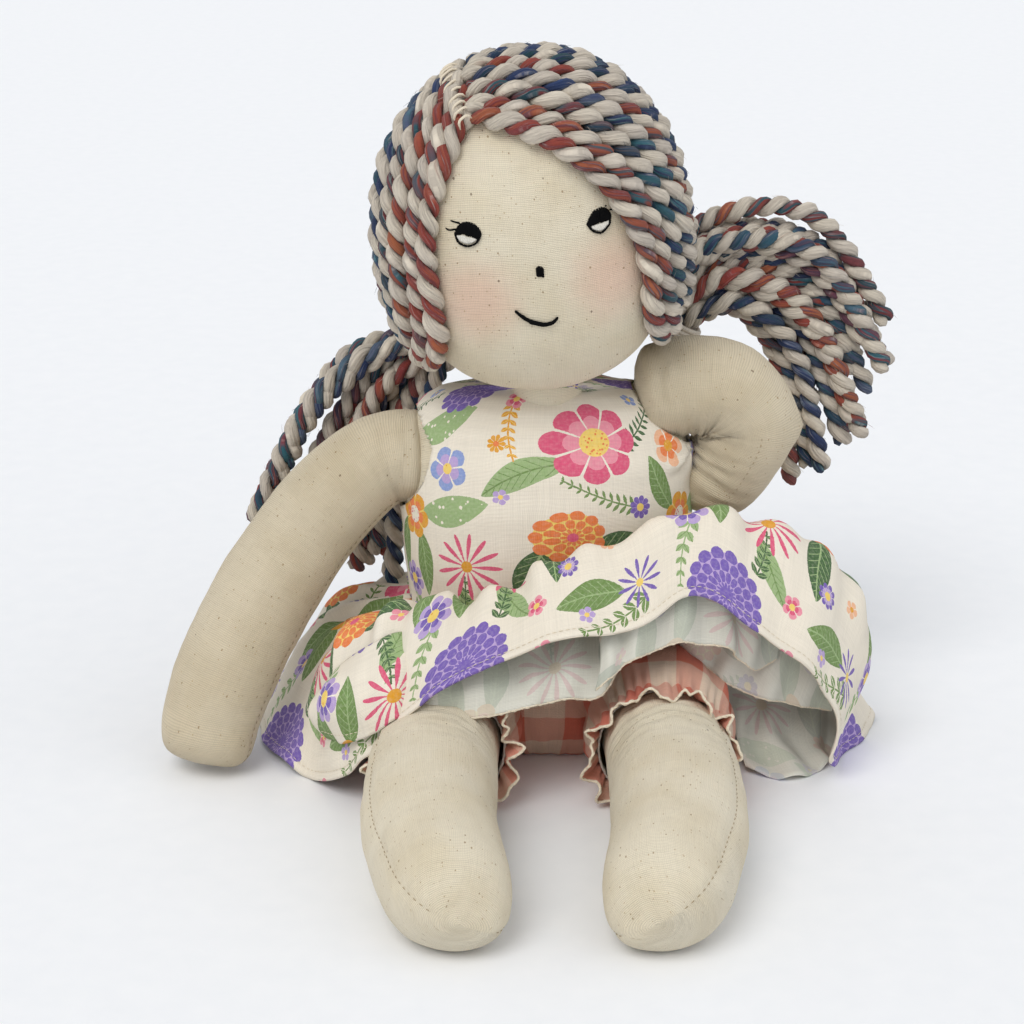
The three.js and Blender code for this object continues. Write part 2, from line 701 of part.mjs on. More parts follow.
// One leg of the bloomers: puffed from the hip, drawn in by its elastic and ruffled past it
function bloomersLeg(hipX) {
  const cuffRadius = thighRadius + cuffEase + elasticThickness + cuffEase + clothThickness / 2;
  const cuffHalf = elasticWidth / 2 + casingStitching;
  const puffs = puffRows.map(({ at, drawnIn, wave }) => (
    { at, radius: sleevePuff - drawnIn, wave, lift: sleeveLift - drawnIn }));
  const rows = [
    { at: sleeveStart, radius: thighRadius + fit + clothThickness / 2, wave: 0, lift: 0 },
    ...puffs,
    { at: cuffAt - cuffHalf, radius: cuffRadius, wave: 0, lift: 0 },
    { at: cuffAt + cuffHalf, radius: cuffRadius, wave: 0, lift: 0 },
    { at: cuffAt + cuffHalf + ruffleLength, radius: cuffRadius + ruffleFlare, wave: ruffleDepth, lift: 0 },
  ];
  const around = 3 * ruffleWaves;
  const grid = rows.map(({ at, radius, wave, lift }) => {
    const ring = [];
    for (let j = 0; j < around; j += 1) {
      const angle = (2 * Math.PI * j) / around;
      const r = radius + (wave / 2) * Math.cos(ruffleWaves * angle) + lift * Math.sin(angle);
      ring.push(new THREE.Vector3(hipX + r * Math.cos(angle), hipY - at, hipZ + r * Math.sin(angle)));
    }
    return ring;
  });
  const cloth = solidOf(clothSheet(grid, clothThickness, true));
  return largestPiece(cloth.intersect(aboveFloor));
}

function cuffElastic(hipX) {
  const inner = thighRadius + cuffEase;
  const band = crossCylinder(inner + elasticThickness, -elasticWidth / 2, elasticWidth / 2, 0, 0)
    .subtract(crossCylinder(inner, -elasticWidth, elasticWidth, 0, 0));
  const geometry = geometryOf(band);
  geometry.rotateZ(Math.PI / 2);
  geometry.translate(hipX, hipY - cuffAt, hipZ);
  return largestPiece(solidOf(geometry).intersect(aboveFloor));
}

// Dress bodice: a front and two back panels, which overlap at the back and close with snaps

const clothInner = fit;
const clothOuter = clothInner + clothThickness;
const flapInner = clothOuter + snapThickness + 2 * fit;
const flapOuter = flapInner + clothThickness;
const sideSeamY = torsoCentreY;

function bodiceCut(solid) {
  const neckHole = new THREE.CylinderGeometry(neckOpening, neckOpening, far, socketSides);
  neckHole.rotateX(Math.PI / 2);
  neckHole.translate(neckPivot.x, neckPivot.y, shoulderZ);
  return solid
    .subtract(solidOf(neckHole))
    .subtract(crossCylinder(armholeRadius, -far, -armholeReach, rightShoulder.y, rightShoulder.z))
    .subtract(sphereSolid(armRadius + 3 * fit, leftShoulder, socketSides));
}

function bodiceBand(inner, outer, x0, x1, y0, y1) {
  return torsoShell(inner, outer).intersect(boxSolid([x0, y0, waistZ + fit], [x1, y1, far]));
}

function bodiceFront() {
  return largestPiece(bodiceCut(bodiceBand(clothInner, clothOuter, -far, far, -far, sideSeamY - fit / 2)));
}

function bodiceBackRight() {
  const panel = bodiceBand(clothInner, clothOuter, -far, closureX - fit, sideSeamY + fit / 2, far);
  return largestPiece(bodiceCut(panel));
}

function bodiceBackLeft() {
  const panel = bodiceBand(clothInner, clothOuter, closureX, far, sideSeamY + fit / 2, far);
  const edge = closureX + clothThickness;
  const step = bodiceBand(clothInner, flapOuter, closureX, edge, sideSeamY, far);
  const flap = bodiceBand(flapInner, flapOuter, closureX - closureOverlap, edge, sideSeamY, far);
  return largestPiece(bodiceCut(panel.add(step).add(flap)));
}

function snap(height) {
  const x = closureX - closureOverlap / 2;
  const disc = new THREE.CylinderGeometry(snapRadius, snapRadius, far, 14);
  disc.translate(x, far / 2, height);
  return torsoShell(clothOuter + fit, clothOuter + fit + snapThickness).intersect(solidOf(disc));
}

// Skirt: gathered round the waist, pushed up in front and spread out on the floor

function waistPoint(degrees) {
  const angle = THREE.MathUtils.degToRad(degrees);
  const row = torsoProfile.findIndex((entry) => entry.z === waistZ);
  const p = torsoPoint(row, angle, fit + skirtThickness / 2);
  p.z = waistZ - skirtThickness / 2 - 2 * fit;
  return p;
}

function skirtSolid() {
  const smooth = (key) => new THREE.CatmullRomCurve3(
    skirtStations.map((station) => (key === 'waist'
      ? waistPoint(station.waist)
      : new THREE.Vector3(...station[key]))),
    true,
    'centripetal',
  );
  const folds = smooth('fold');
  const hems = smooth('hem');
  const angles = skirtStations.map((station) => station.waist);
  const grid = [];
  for (let i = 0; i <= skirtDown; i += 1) grid.push([]);
  for (let j = 0; j < skirtAround; j += 1) {
    const t = j / skirtAround;
    const at = t * angles.length;
    const low = Math.floor(at);
    const next = low + 1 < angles.length ? angles[low + 1] : 360;
    const waist = waistPoint(THREE.MathUtils.lerp(angles[low], next, at - low));
    const fold = folds.getPoint(t);
    const hem = hems.getPoint(t);
    const outward = new THREE.Vector3(waist.x, waist.y, 0).normalize();
    const start = waist.clone().addScaledVector(outward, skirtSpring);
    start.z += skirtSpring * Math.sign(fold.z - waist.z) * skirtSpringRise;
    const down = new THREE.CatmullRomCurve3([waist, start, fold, hem], false, 'centripetal');
    for (let i = 0; i <= skirtDown; i += 1) {
      grid[i].push(down.getPointAt(i / skirtDown));
    }
  }
  const skirt = solidOf(clothSheet(grid, skirtThickness, true));
  const nearLine = new THREE.CatmullRomCurve3(underFold.near.map((p) => new THREE.Vector3(...p)));
  const farLine = new THREE.CatmullRomCurve3(underFold.far.map((p) => new THREE.Vector3(...p)));
  const fold = [0, 0.5, 1].map((share) => {
    const row = [];
    for (let j = 0; j <= underFoldColumns; j += 1) {
      const t = j / underFoldColumns;
      row.push(farLine.getPoint(t).lerp(nearLine.getPoint(t), share));
    }
    return row;
  });
  const under = solidOf(clothSheet(fold, skirtThickness, false));
  return largestPiece(skirt.add(under).intersect(aboveFloor));
}

// The doll

const doll = new THREE.Group();
const headGroup = new THREE.Group();
headGroup.position.copy(neckPivot);
headGroup.rotation.y = THREE.MathUtils.degToRad(-headRoll);
doll.add(headGroup);

function place(parent, name, shape, material) {
  const geometry = shape.isBufferGeometry ? shape : geometryOf(shape);
  const mesh = new THREE.Mesh(geometry, material);
  mesh.name = name;
  parent.add(mesh);
}

place(doll, 'torso', torsoSolid(), skinCloth);
place(doll, 'arm_left', leftArm(), skinCloth);
place(doll, 'arm_right', rightArm(), skinCloth);
place(doll, 'leg_left', leg(leftHipX, -1), skinCloth);
place(doll, 'leg_right', leg(rightHipX, 1), skinCloth);

place(doll, 'bloomers_seat', bloomersSeat(), bloomersCloth);
place(doll, 'bloomers_waist_elastic', waistElastic(), elastic);
place(doll, 'bloomers_leg_left', bloomersLeg(leftHipX), bloomersCloth);
place(doll, 'bloomers_leg_right', bloomersLeg(rightHipX), bloomersCloth);
place(doll, 'cuff_elastic_left', cuffElastic(leftHipX), elastic);
place(doll, 'cuff_elastic_right', cuffElastic(rightHipX), elastic);

place(doll, 'dress_bodice_front', bodiceFront(), dressCloth);
place(doll, 'dress_bodice_back_left', bodiceBackLeft(), dressCloth);
place(doll, 'dress_bodice_back_right', bodiceBackRight(), dressCloth);
snapHeights.forEach((height, i) => {
  place(doll, `dress_snap_${['low', 'middle', 'high'][i]}`, snap(height), snapMetal);
});
place(doll, 'dress_skirt', skirtSolid(), dressCloth);

place(headGroup, 'head', headSolid(), skinCloth);
place(headGroup, 'eye_left_black', eyeBlack(1, leftLashes), blackThread);
place(headGroup, 'eye_right_black', eyeBlack(-1, rightLashes), blackThread);
place(headGroup, 'eye_left_white', eyeWhite(1), whiteThread);
place(headGroup, 'eye_right_white', eyeWhite(-1), whiteThread);
place(headGroup, 'nose', nose(), blackThread);
place(headGroup, 'mouth', mouth(), blackThread);
place(headGroup, 'hair_side_left', hairSide(1), yarn);
place(headGroup, 'hair_side_right', hairSide(-1), yarn);
place(headGroup, 'hair_part_stitching', partStitching(), creamThread);

[rightBunch, leftBunch].forEach((bunch) => {
  place(doll, `bunch_${bunch.name}_tie`, bunchTie(bunch), elastic);
  strands(bunch).forEach((strand, i) => {
    place(doll, `bunch_${bunch.name}_strand_${i + 1}`, strand, yarn);
  });
});

export default doll;
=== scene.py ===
"""A rag doll with yarn hair, sitting in a printed dress and checked bloomers."""

import json
import math
from functools import partialmethod

import bpy
import numpy as np
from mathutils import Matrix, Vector, noise

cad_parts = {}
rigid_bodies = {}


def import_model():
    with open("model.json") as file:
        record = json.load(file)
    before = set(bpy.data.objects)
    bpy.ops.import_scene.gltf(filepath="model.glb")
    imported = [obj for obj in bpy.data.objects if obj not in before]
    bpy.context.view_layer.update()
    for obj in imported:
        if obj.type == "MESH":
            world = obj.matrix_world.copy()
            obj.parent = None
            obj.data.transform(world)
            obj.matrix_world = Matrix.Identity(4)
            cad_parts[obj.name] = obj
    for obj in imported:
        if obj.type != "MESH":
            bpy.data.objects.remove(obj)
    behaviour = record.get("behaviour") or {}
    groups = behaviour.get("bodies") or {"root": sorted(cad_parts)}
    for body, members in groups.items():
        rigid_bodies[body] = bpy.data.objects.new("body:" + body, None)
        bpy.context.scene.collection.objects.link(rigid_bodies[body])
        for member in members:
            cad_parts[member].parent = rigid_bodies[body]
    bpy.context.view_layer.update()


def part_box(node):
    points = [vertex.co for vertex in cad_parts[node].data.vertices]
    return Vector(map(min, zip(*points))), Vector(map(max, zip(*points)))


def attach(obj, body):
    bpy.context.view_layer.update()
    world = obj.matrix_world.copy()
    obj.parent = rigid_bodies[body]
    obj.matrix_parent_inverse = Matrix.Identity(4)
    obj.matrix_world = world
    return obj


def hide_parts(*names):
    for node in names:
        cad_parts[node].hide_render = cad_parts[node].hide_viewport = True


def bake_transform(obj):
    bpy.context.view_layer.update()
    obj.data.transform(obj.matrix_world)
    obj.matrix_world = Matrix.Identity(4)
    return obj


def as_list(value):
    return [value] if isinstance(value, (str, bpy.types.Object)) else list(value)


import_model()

# From mm to metres
MM = 0.001
TURN = 2 * math.pi


# Cloth as it was cut, in metres: flat size, how it is held, what it rests on, its own area, what is on it

cutCloth = {
    "dress_skirt_cloth": ((0.64, 0.092), "gathered", ["torso"], None, ["dress_hem_stitches"]),
    "dress_skirt_under_fold": ((0.095, 0.040), "folded", ["dress_skirt"], None, ["dress_fold_overlock"]),
    "dress_skirt_inner_fold": ((0.085, 0.038), "folded", ["dress_skirt"], None, []),
    "dress_skirt_lining_fold": ((0.068, 0.050), "folded", ["dress_skirt"], None, []),
    "dress_skirt_side_fold": ((0.047, 0.045), "folded", ["dress_skirt"], None, ["dress_side_fold_stitches"]),
    "dress_skirt_floor_fold": ((0.052, 0.050), "laid", ["dress_skirt"], None, []),
    "bodice_front_cloth": ((0.125, 0.100), "stretched", ["torso"], 0.0119, []),
    "bodice_back_left_cloth": ((0.082, 0.100), "stretched", ["torso"], 0.0073, []),
    "bodice_back_right_cloth": ((0.075, 0.100), "stretched", ["torso"], 0.0066, []),
    "bloomers_cloth_leg_left": ((0.200, 0.058), "gathered", ["leg_left"], None, ["bloomers_overlock_left"]),
    "bloomers_cloth_leg_right": ((0.200, 0.058), "gathered", ["leg_right"], None,
                                 ["bloomers_overlock_right"]),
    "bloomers_cloth_seat": ((0.330, 0.060), "gathered", ["torso"], None, []),
}


def declare_cloth():
    pieces = bpy.data.objects
    for name, (flat, held, rests_on, area, extras) in cutCloth.items():
        [pieces[extra] for extra in extras]
        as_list(rests_on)


# Camera, floor and light

def add_camera():
    data = bpy.data.cameras.new("camera")
    data.lens = cameraLens
    data.sensor_width = 36
    camera = bpy.data.objects.new("camera", data)
    camera.location = cameraPlace
    camera.rotation_euler = (math.radians(cameraTilt), 0, 0)
    bpy.context.scene.collection.objects.link(camera)
    bpy.context.scene.camera = camera


def add_sun(name, strength, colour, softness, tilt, turn):
    data = bpy.data.lights.new(name, "SUN")
    data.energy = strength
    data.color = colour
    data.angle = math.radians(softness)
    lamp = bpy.data.objects.new(name, data)
    lamp.rotation_euler = (math.radians(tilt), 0, math.radians(turn))
    bpy.context.scene.collection.objects.link(lamp)


def add_world():
    world = bpy.data.worlds.new("studio")
    world.use_nodes = True
    bpy.context.scene.world = world
    nodes = world.node_tree.nodes
    links = world.node_tree.links
    sky = nodes["Background"]
    sky.inputs["Color"].default_value = (0.95, 0.97, 1.0, 1)
    sky.inputs["Strength"].default_value = skyStrength
    backdrop = nodes.new("ShaderNodeBackground")
    backdrop.inputs["Color"].default_value = (0.915, 0.93, 0.95, 1)
    path = nodes.new("ShaderNodeLightPath")
    either = nodes.new("ShaderNodeMath")
    either.operation = "MAXIMUM"
    links.new(path.outputs["Is Camera Ray"], either.inputs[0])
    links.new(path.outputs["Is Glossy Ray"], either.inputs[1])
    mix = nodes.new("ShaderNodeMixShader")
    links.new(either.outputs[0], mix.inputs[0])
    links.new(sky.outputs[0], mix.inputs[1])
    links.new(backdrop.outputs[0], mix.inputs[2])
    links.new(mix.outputs[0], nodes["World Output"].inputs["Surface"])


# Shader building

def srgb(red, green, blue):
    """A colour given as 0 to 255 display values, as the linear values that a shader takes."""
    linear = []
    for value in (red, green, blue):
        share = value / 255
        linear.append(share / 12.92 if share <= 0.04045 else ((share + 0.055) / 1.055) ** 2.4)
    return (*linear, 1)


class Field:
    """A value that varies over a surface. Arithmetic with it adds Math nodes to its shader."""

    def __init__(self, shader, socket):
        self.shader = shader
        self.socket = socket

    def first(self, operation, *others):
        return self.shader.math(operation, self, *others)

    def last(self, operation, other):
        return self.shader.math(operation, other, self)

    __add__ = partialmethod(first, "ADD")
    __sub__ = partialmethod(first, "SUBTRACT")
    __mul__ = partialmethod(first, "MULTIPLY")
    __truediv__ = partialmethod(first, "DIVIDE")
    __mod__ = partialmethod(first, "MODULO")
    __pow__ = partialmethod(first, "POWER")
    __abs__ = partialmethod(first, "ABSOLUTE")
    __lt__ = partialmethod(first, "LESS_THAN")
    __gt__ = partialmethod(first, "GREATER_THAN")
    __radd__ = partialmethod(last, "ADD")
    __rsub__ = partialmethod(last, "SUBTRACT")


class Shader:
    """A material whose nodes are added by short calls. Inputs are numbers, colours, sockets or fields."""

    def __init__(self, name, settings=()):
        self.material = bpy.data.materials.new(name)
        self.material.use_nodes = True
        self.tree = self.material.node_tree
        self.surface = self.tree.nodes["Principled BSDF"]
        for key, value in dict(settings).items():
            self.surface.inputs[key].default_value = value

    def put(self, socket, value):
        if isinstance(value, Field):
            value = value.socket
        if isinstance(value, bpy.types.NodeSocket):
            self.tree.links.new(value, socket)
        else:
            socket.default_value = value

    def add(self, kind, inputs=(), **settings):
        node = self.tree.nodes.new("ShaderNode" + kind)
        for key, value in settings.items():
            setattr(node, key, value)
        pairs = inputs.items() if isinstance(inputs, dict) else enumerate(inputs)
        for key, value in pairs:
            self.put(node.inputs[key], value)
        return node

    def field(self, kind, inputs, output=0, **settings):
        return Field(self, self.add(kind, inputs, **settings).outputs[output])

    def math(self, operation, *inputs):
        return self.field("Math", inputs, operation=operation)

    sine = partialmethod(math, "SINE")
    least = partialmethod(math, "MINIMUM")
    most = partialmethod(math, "MAXIMUM")
    fraction = partialmethod(math, "FRACT")

    def step(self, value, low, high, to_low=0.0, to_high=1.0):
        """value's place between low and high, smoothed, as a number between to_low and to_high."""
        inputs = {"Value": value, "From Min": low, "From Max": high, "To Min": to_low, "To Max": to_high}
        return self.field("MapRange", inputs, interpolation_type="SMOOTHSTEP")

    def mix(self, share, low, high, blend="MIX"):
        node = self.add("Mix", data_type="RGBA", blend_type=blend)
        self.put(node.inputs[0], share)
        self.put(node.inputs[6], low)
        self.put(node.inputs[7], high)
        return node.outputs[2]

    def place(self, layer="UVMap", scale=1000.0):
        """The cloth's own coordinates in millimetres."""
        uv = self.add("UVMap", uv_map=layer)
        return self.field("VectorMath", {0: uv.outputs[0], 3: scale}, operation="SCALE")

    def object_place(self):
        return self.add("TexCoord").outputs["Object"]

    def parts(self, vector):
        return [Field(self, socket) for socket in self.add("SeparateXYZ", [vector]).outputs]

    def joined(self, x, y, z=0.0):
        return self.field("CombineXYZ", [x, y, z])

    def stretch(self, vector, x, y, z=1.0):
        return self.field("VectorMath", [vector, (x, y, z)], operation="MULTIPLY")

    def noise(self, vector, scale, detail=2.0, roughness=0.5):
        inputs = {"Vector": vector, "Scale": scale, "Detail": detail, "Roughness": roughness}
        return self.field("TexNoise", inputs, "Fac")

    def ramp(self, value, stops):
        """A colour from stops of (place, display colour)."""
        node = self.add("ValToRGB", [value])
        elements = node.color_ramp.elements
        while len(elements) < len(stops):
            elements.new(0.5)
        for element, (place, colour) in zip(elements, stops):
            element.position = place
            element.color = srgb(*colour)
        return node.outputs[0]

    def shaded(self, colour, shade):
        return self.mix(1.0, colour, self.joined(shade, shade, shade), "MULTIPLY")

    def cells(self, vector, scale):
        """The distance and colour of a pattern of cells, by name."""
        outputs = self.add("TexVoronoi", {"Vector": vector, "Scale": scale}).outputs
        return {name: Field(self, socket) for name, socket in outputs.items()}

    def finish(self, colour, rough, height, depth):
        """Connects colour, roughness and bump. depth is the bump's height in millimetres."""
        self.put(self.surface.inputs["Base Color"], colour)
        self.put(self.surface.inputs["Roughness"], rough)
        bump = self.add("Bump", {"Height": height, "Distance": depth * MM, "Strength": 1.0})
        self.put(self.surface.inputs["Normal"], bump.outputs[0])
        return self.material


def weave_height(shader, place, pitch, ribs=0.35):
    """Plain weave: threads a pitch apart, each going over and under in turn, uneven as spun thread is."""
    wander = shader.noise(place, 0.09, 1)
    across, along, _ = shader.parts(place)
    across = across + wander * 1.6
    along = along + wander * -1.3
    turn = math.pi / pitch
    over = shader.sine(across * turn)
    under = shader.sine(along * turn)
    crossing = abs(over * under)
    rib = abs(under)
    return crossing * (1 - ribs) + rib * ribs


def slubs(shader, place):
    """Thicker and thinner threads: streaks both ways, from -0.5 to 0.5."""
    warp = shader.noise(shader.stretch(place, 1.9, 0.05), 1.0, 2)
    weft = shader.noise(shader.stretch(place, 0.05, 1.9, 1.0), 1.0, 2)
    return (warp + weft) * 0.5 - 0.5


def flecks(shader, place, cell, size):
    """Small seed specks of unbleached cotton, one where there is one at all in each cell."""
    spots = shader.cells(shader.stretch(place, 1.0, 0.8), 1 / cell)
    luck = shader.parts(spots["Color"])[0]
    reach = shader.step(luck, 0.35, 1.0) * (size / cell)
    return spots["Distance"] < reach


def muslin(name, pale, warm, blushes=()):
    """Unbleached cotton, with a soft blush round each (x, y, size) of the cloth."""
    shader = Shader(name, {"Sheen Weight": 0.12, "Sheen Roughness": 0.6, "Specular IOR Level": 0.25})
    place = shader.place()
    height = weave_height(shader, place, 0.62)
    uneven = slubs(shader, place)
    soil = shader.noise(place, 0.035, 3)
    colour = shader.mix(shader.step(soil, 0.3, 0.75), pale, warm)
    for x, y, size in blushes:
        offset = shader.field("VectorMath", [place, (x, y, 0)], "Value", operation="DISTANCE")
        patchy = offset + shader.noise(place, 0.11, 3) * 7
        share = shader.step(patchy, size + 3.5, size * 0.3, 0.0, 0.34)
        colour = shader.mix(share, colour, blushColour)
    shade = 0.82 + height * 0.26 + uneven * 0.26
    colour = shader.shaded(colour, shade)
    for cell, size, strength, tint in fleckKinds:
        spots = flecks(shader, shader.stretch(place, 1, -1 if cell > 3 else 1), cell, size)
        colour = shader.mix(spots * strength, colour, tint)
    return shader.finish(colour, shader.step(height, 0, 1, 0.92, 0.8), height + uneven * 2.2, 0.16)


# Values of the whole scene

cameraLens = 79.24
cameraPlace = (-0.0132, -0.8162, 0.3890)
cameraTilt = 70
skyStrength = 0.62
keyStrength = 1.35
fillStrength = 0.35
skinPale = srgb(231, 221, 198)
skinWarm = srgb(221, 208, 180)
blushColour = srgb(222, 148, 126)
# How far each leg is across, and how high
hips = {"left": 42, "right": -39}
hipHeight = 21.5
# Shares of the way from one knot of a smooth curve to the next
knotShares = np.linspace(0, 1, 24, endpoint=False)[:, None]
# Cell size, speck size, strength and colour of the seed specks in the cotton
fleckKinds = [(1.45, 0.25, 0.6, srgb(168, 138, 92)), (2.4, 0.34, 0.7, srgb(142, 112, 70)),
              (6.3, 0.4, 0.7, srgb(96, 74, 48))]


# Mesh building

def unit(vectors):
    return vectors / np.maximum(np.linalg.norm(vectors, axis=-1, keepdims=True), 1e-9)


def smooth_step(low, high, values):
    share = np.clip((np.asarray(values, float) - low) / (high - low), 0, 1)
    return share * share * (3 - 2 * share)


def shares(count):
    """Even shares from 0 to 1, as a column."""
    return np.linspace(0, 1, count)[:, None]


def part_way(start, stop, share):
    return start * (1 - share) + stop * share


def swell(distance, reach):
    """1 where distance is 0, falling smoothly to nearly nothing at twice the reach."""
    return np.exp(-(distance / reach) ** 2)


def keep_above(points, least):
    """Lifts the points that are lower than least mm, so that nothing goes through the floor."""
    points[..., 2] = np.maximum(points[..., 2], least)


def steps_along(line):
    """How far each point of a line is from its start, along it."""
    return np.concatenate([[0], np.cumsum(np.linalg.norm(np.diff(line, axis=0), axis=1))])


def lengths_down(rows):
    """How far each point of a grid is from the first row, along its column."""
    steps = np.linalg.norm(np.diff(rows, axis=0), axis=2)
    return np.concatenate([np.zeros((1, rows.shape[1])), np.cumsum(steps, axis=0)])


def at_places(line, gone, places):
    """Each column of a line, such as x or a radius, at places along it."""
    return np.stack([np.interp(places, gone, column) for column in line.T], axis=1)


def curve(a, b, c, d, t):
    """The smooth curve from b to c at shares t, where a is before b and d after c."""
    square = (2 * a - 5 * b + 4 * c - d) * t ** 2
    return 0.5 * (2 * b + (c - a) * t + square + (3 * b - a - 3 * c + d) * t ** 3)


def circle(count):
    return np.arange(count) * TURN / count


def spokes(side, up, angles):
    """A ring of directions round each point of a line."""
    return side[:, None] * np.cos(angles)[None, :, None] + up[:, None] * np.sin(angles)[None, :, None]


def squared_circle(angles, power):
    """The two coordinates of a circle that is drawn towards a square where power is under 1."""
    return [np.sign(wave) * np.abs(wave) ** power for wave in (np.cos(angles), np.sin(angles))]


def cloth_grid(across, along):
    return np.stack(np.meshgrid(across, along), axis=2)


def spline(knots, step):
    """A smooth curve through the knots, with a sample about every step mm, and how far along each sample is.
    Columns after x, y and z, such as a radius, go along."""
    knots = np.asarray(knots, float)
    ends = np.vstack([2 * knots[0] - knots[1], knots, 2 * knots[-1] - knots[-2]])
    dense = [curve(*four, knotShares) for four in zip(ends, ends[1:], ends[2:], ends[3:])]
    dense = np.vstack([*dense, knots[-1:]])
    gone = steps_along(dense[:, :3])
    places = np.linspace(0, gone[-1], max(3, round(gone[-1] / step) + 1))
    return at_places(dense, gone, places), places


def resampled(line, count, step=0.5):
    """The smooth curve through a line's points, as count points evenly along it."""
    dense, gone = spline(line, step)
    return at_places(dense, gone, np.linspace(0, gone[-1], count))


def frames(line, across):
    """The directions along, to the side of and up from a line at each point, carried on without twist."""
    along = unit(np.gradient(line, axis=0))
    side = [unit(across - along[0] * np.dot(across, along[0]))]
    for direction in along[1:]:
        side.append(unit(side[-1] - direction * np.dot(side[-1], direction)))
    side = np.array(side)
    return along, side, np.cross(along, side)


def grain(points, size, seed=0.0):
    """Smooth noise of about -1 to 1 at each point, with lumps of about size mm."""
    flat = points.reshape(-1, 3)
    values = [noise.noise(Vector((x / size + seed, y / size, z / size))) for x, y, z in flat]
    return np.array(values).reshape(points.shape[:-1])


def row_normals(rows, closed=True):
    """Outward directions of a grid of points whose rows go round."""
    if closed:
        round_way = np.roll(rows, -1, axis=1) - np.roll(rows, 1, axis=1)
    else:
        round_way = np.gradient(rows, axis=1)
    return unit(np.cross(round_way, np.gradient(rows, axis=0)))


def add_mesh(name, points, faces, materials, uvs=None, slots=None, body=None):
    """An object from points in mm. uvs holds, for each face, its corners' places on the cloth in mm."""
    mesh = bpy.data.meshes.new(name)
    mesh.from_pydata((np.asarray(points) * MM).tolist(), [], [tuple(map(int, face)) for face in faces])
    for material in materials:
        mesh.materials.append(material)
    if uvs is not None:
        layer = mesh.uv_layers.new(name="UVMap")
        layer.data.foreach_set("uv", np.concatenate([np.asarray(uv, float).ravel() for uv in uvs]) * MM)
    if slots is not None:
        mesh.polygons.foreach_set("material_index", np.asarray(slots, int))
    mesh.polygons.foreach_set("use_smooth", np.full(len(mesh.polygons), True))
    mesh.update()
    piece = bpy.data.objects.new(name, mesh)
    bpy.context.scene.collection.objects.link(piece)
    if body:
        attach(piece, body)
    return piece


def box_middle(node):
    """The middle of a solid's box, in mm."""
    low, high = (np.array(corner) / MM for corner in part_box(node))
    return (low + high) / 2


def stands_for(piece, slot, *nodes):
    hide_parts(*nodes)


def stuffed(piece, node):
    stands_for(piece, "skin_cloth", node)


def grid_faces(count, wide, closed, start=0):
    """Faces of a grid of points, and the grid places of each face's corners for its cloth coordinates."""
    faces = []
    corners = []
    columns = wide if closed else wide - 1
    for i in range(count - 1):
        for j in range(columns):
            after = (j + 1) % wide
            faces.append((start + i * wide + j, start + i * wide + after,
                          start + (i + 1) * wide + after, start + (i + 1) * wide + j))
            corners.append(((i, j), (i, j + 1), (i + 1, j + 1), (i + 1, j)))
    return faces, corners


def skin_grid(name, rows, uv, material, body):
    """A closed form from rings of points. uv is a grid of cloth places, one column wider than rows."""
    count, wide, _ = rows.shape
    faces, corners = grid_faces(count, wide, True)
    uvs = [[uv[i][j] for i, j in corner] for corner in corners]
    first = list(range(wide))[::-1]
    last = list(range((count - 1) * wide, count * wide))
    faces += [first, last]
    uvs += [[uv[0][j] for j in first], [uv[-1][j - (count - 1) * wide] for j in last]]
    return add_mesh(name, rows.reshape(-1, 3), faces, [material], uvs, body=body)


def thread(line, radius, sides):
    """A thin tube along a line, as (points, faces), with its ends drawn in."""
    line = np.asarray(line, float)
    _, side, up = frames(line, threadAcross)
    angles = circle(sides)
    radii = np.full(len(line), float(radius)) if np.isscalar(radius) else np.asarray(radius, float)
    radii[[0, -1]] *= 0.35
    points = line[:, None] + spokes(side, up, angles) * radii[:, None, None]
    faces, _ = grid_faces(len(line), sides, True)
    faces.append(list(range(sides))[::-1])
    faces.append(list(range((len(line) - 1) * sides, len(line) * sides)))
    return points.reshape(-1, 3), faces


def merged(parts):
    """Several (points, faces) as one."""
    points = []
    faces = []
    start = 0
    for part_points, part_faces in parts:
        points.append(part_points)
        faces += [tuple(start + corner for corner in face) for face in part_faces]
        start += len(part_points)
    return np.vstack(points), faces


def head_surface(x, z, lift):
    """The place on the front of the head at x across and z up, measured from the neck pivot."""
    hx, hy, hz = headHalf
    x = np.asarray(x, float)
    z = np.asarray(z, float)
    above = (z - headCentre[2]) / hz
    power = np.where(above < 0, *headPowers)
    ring = np.maximum(1 - np.abs(above) ** power, 0.0) ** (1 / power)
    y = headCentre[1] - (hy + lift) * np.sqrt(np.maximum(ring ** 2 - (x / (hx + lift)) ** 2, 0.0))
    return np.stack([x, y, z], axis=-1)


headCentre = (0, -4, 58.7)
headHalf = (51, 47, 58.5)
# How square the head is below its middle, and above it
headPowers = (2.4, 2.1)
neckPivot = np.array((0, -2, 146.0))
headRoll = math.radians(-5.5)


def on_head(points):
    """From the head's own coordinates to the doll's."""
    points = np.asarray(points, float)
    x, y, z = points[..., 0], points[..., 1], points[..., 2]
    rolled = np.stack([x * math.cos(headRoll) + z * math.sin(headRoll), y,
                       z * math.cos(headRoll) - x * math.sin(headRoll)], axis=-1)
    return rolled + neckPivot


# Stuffed body

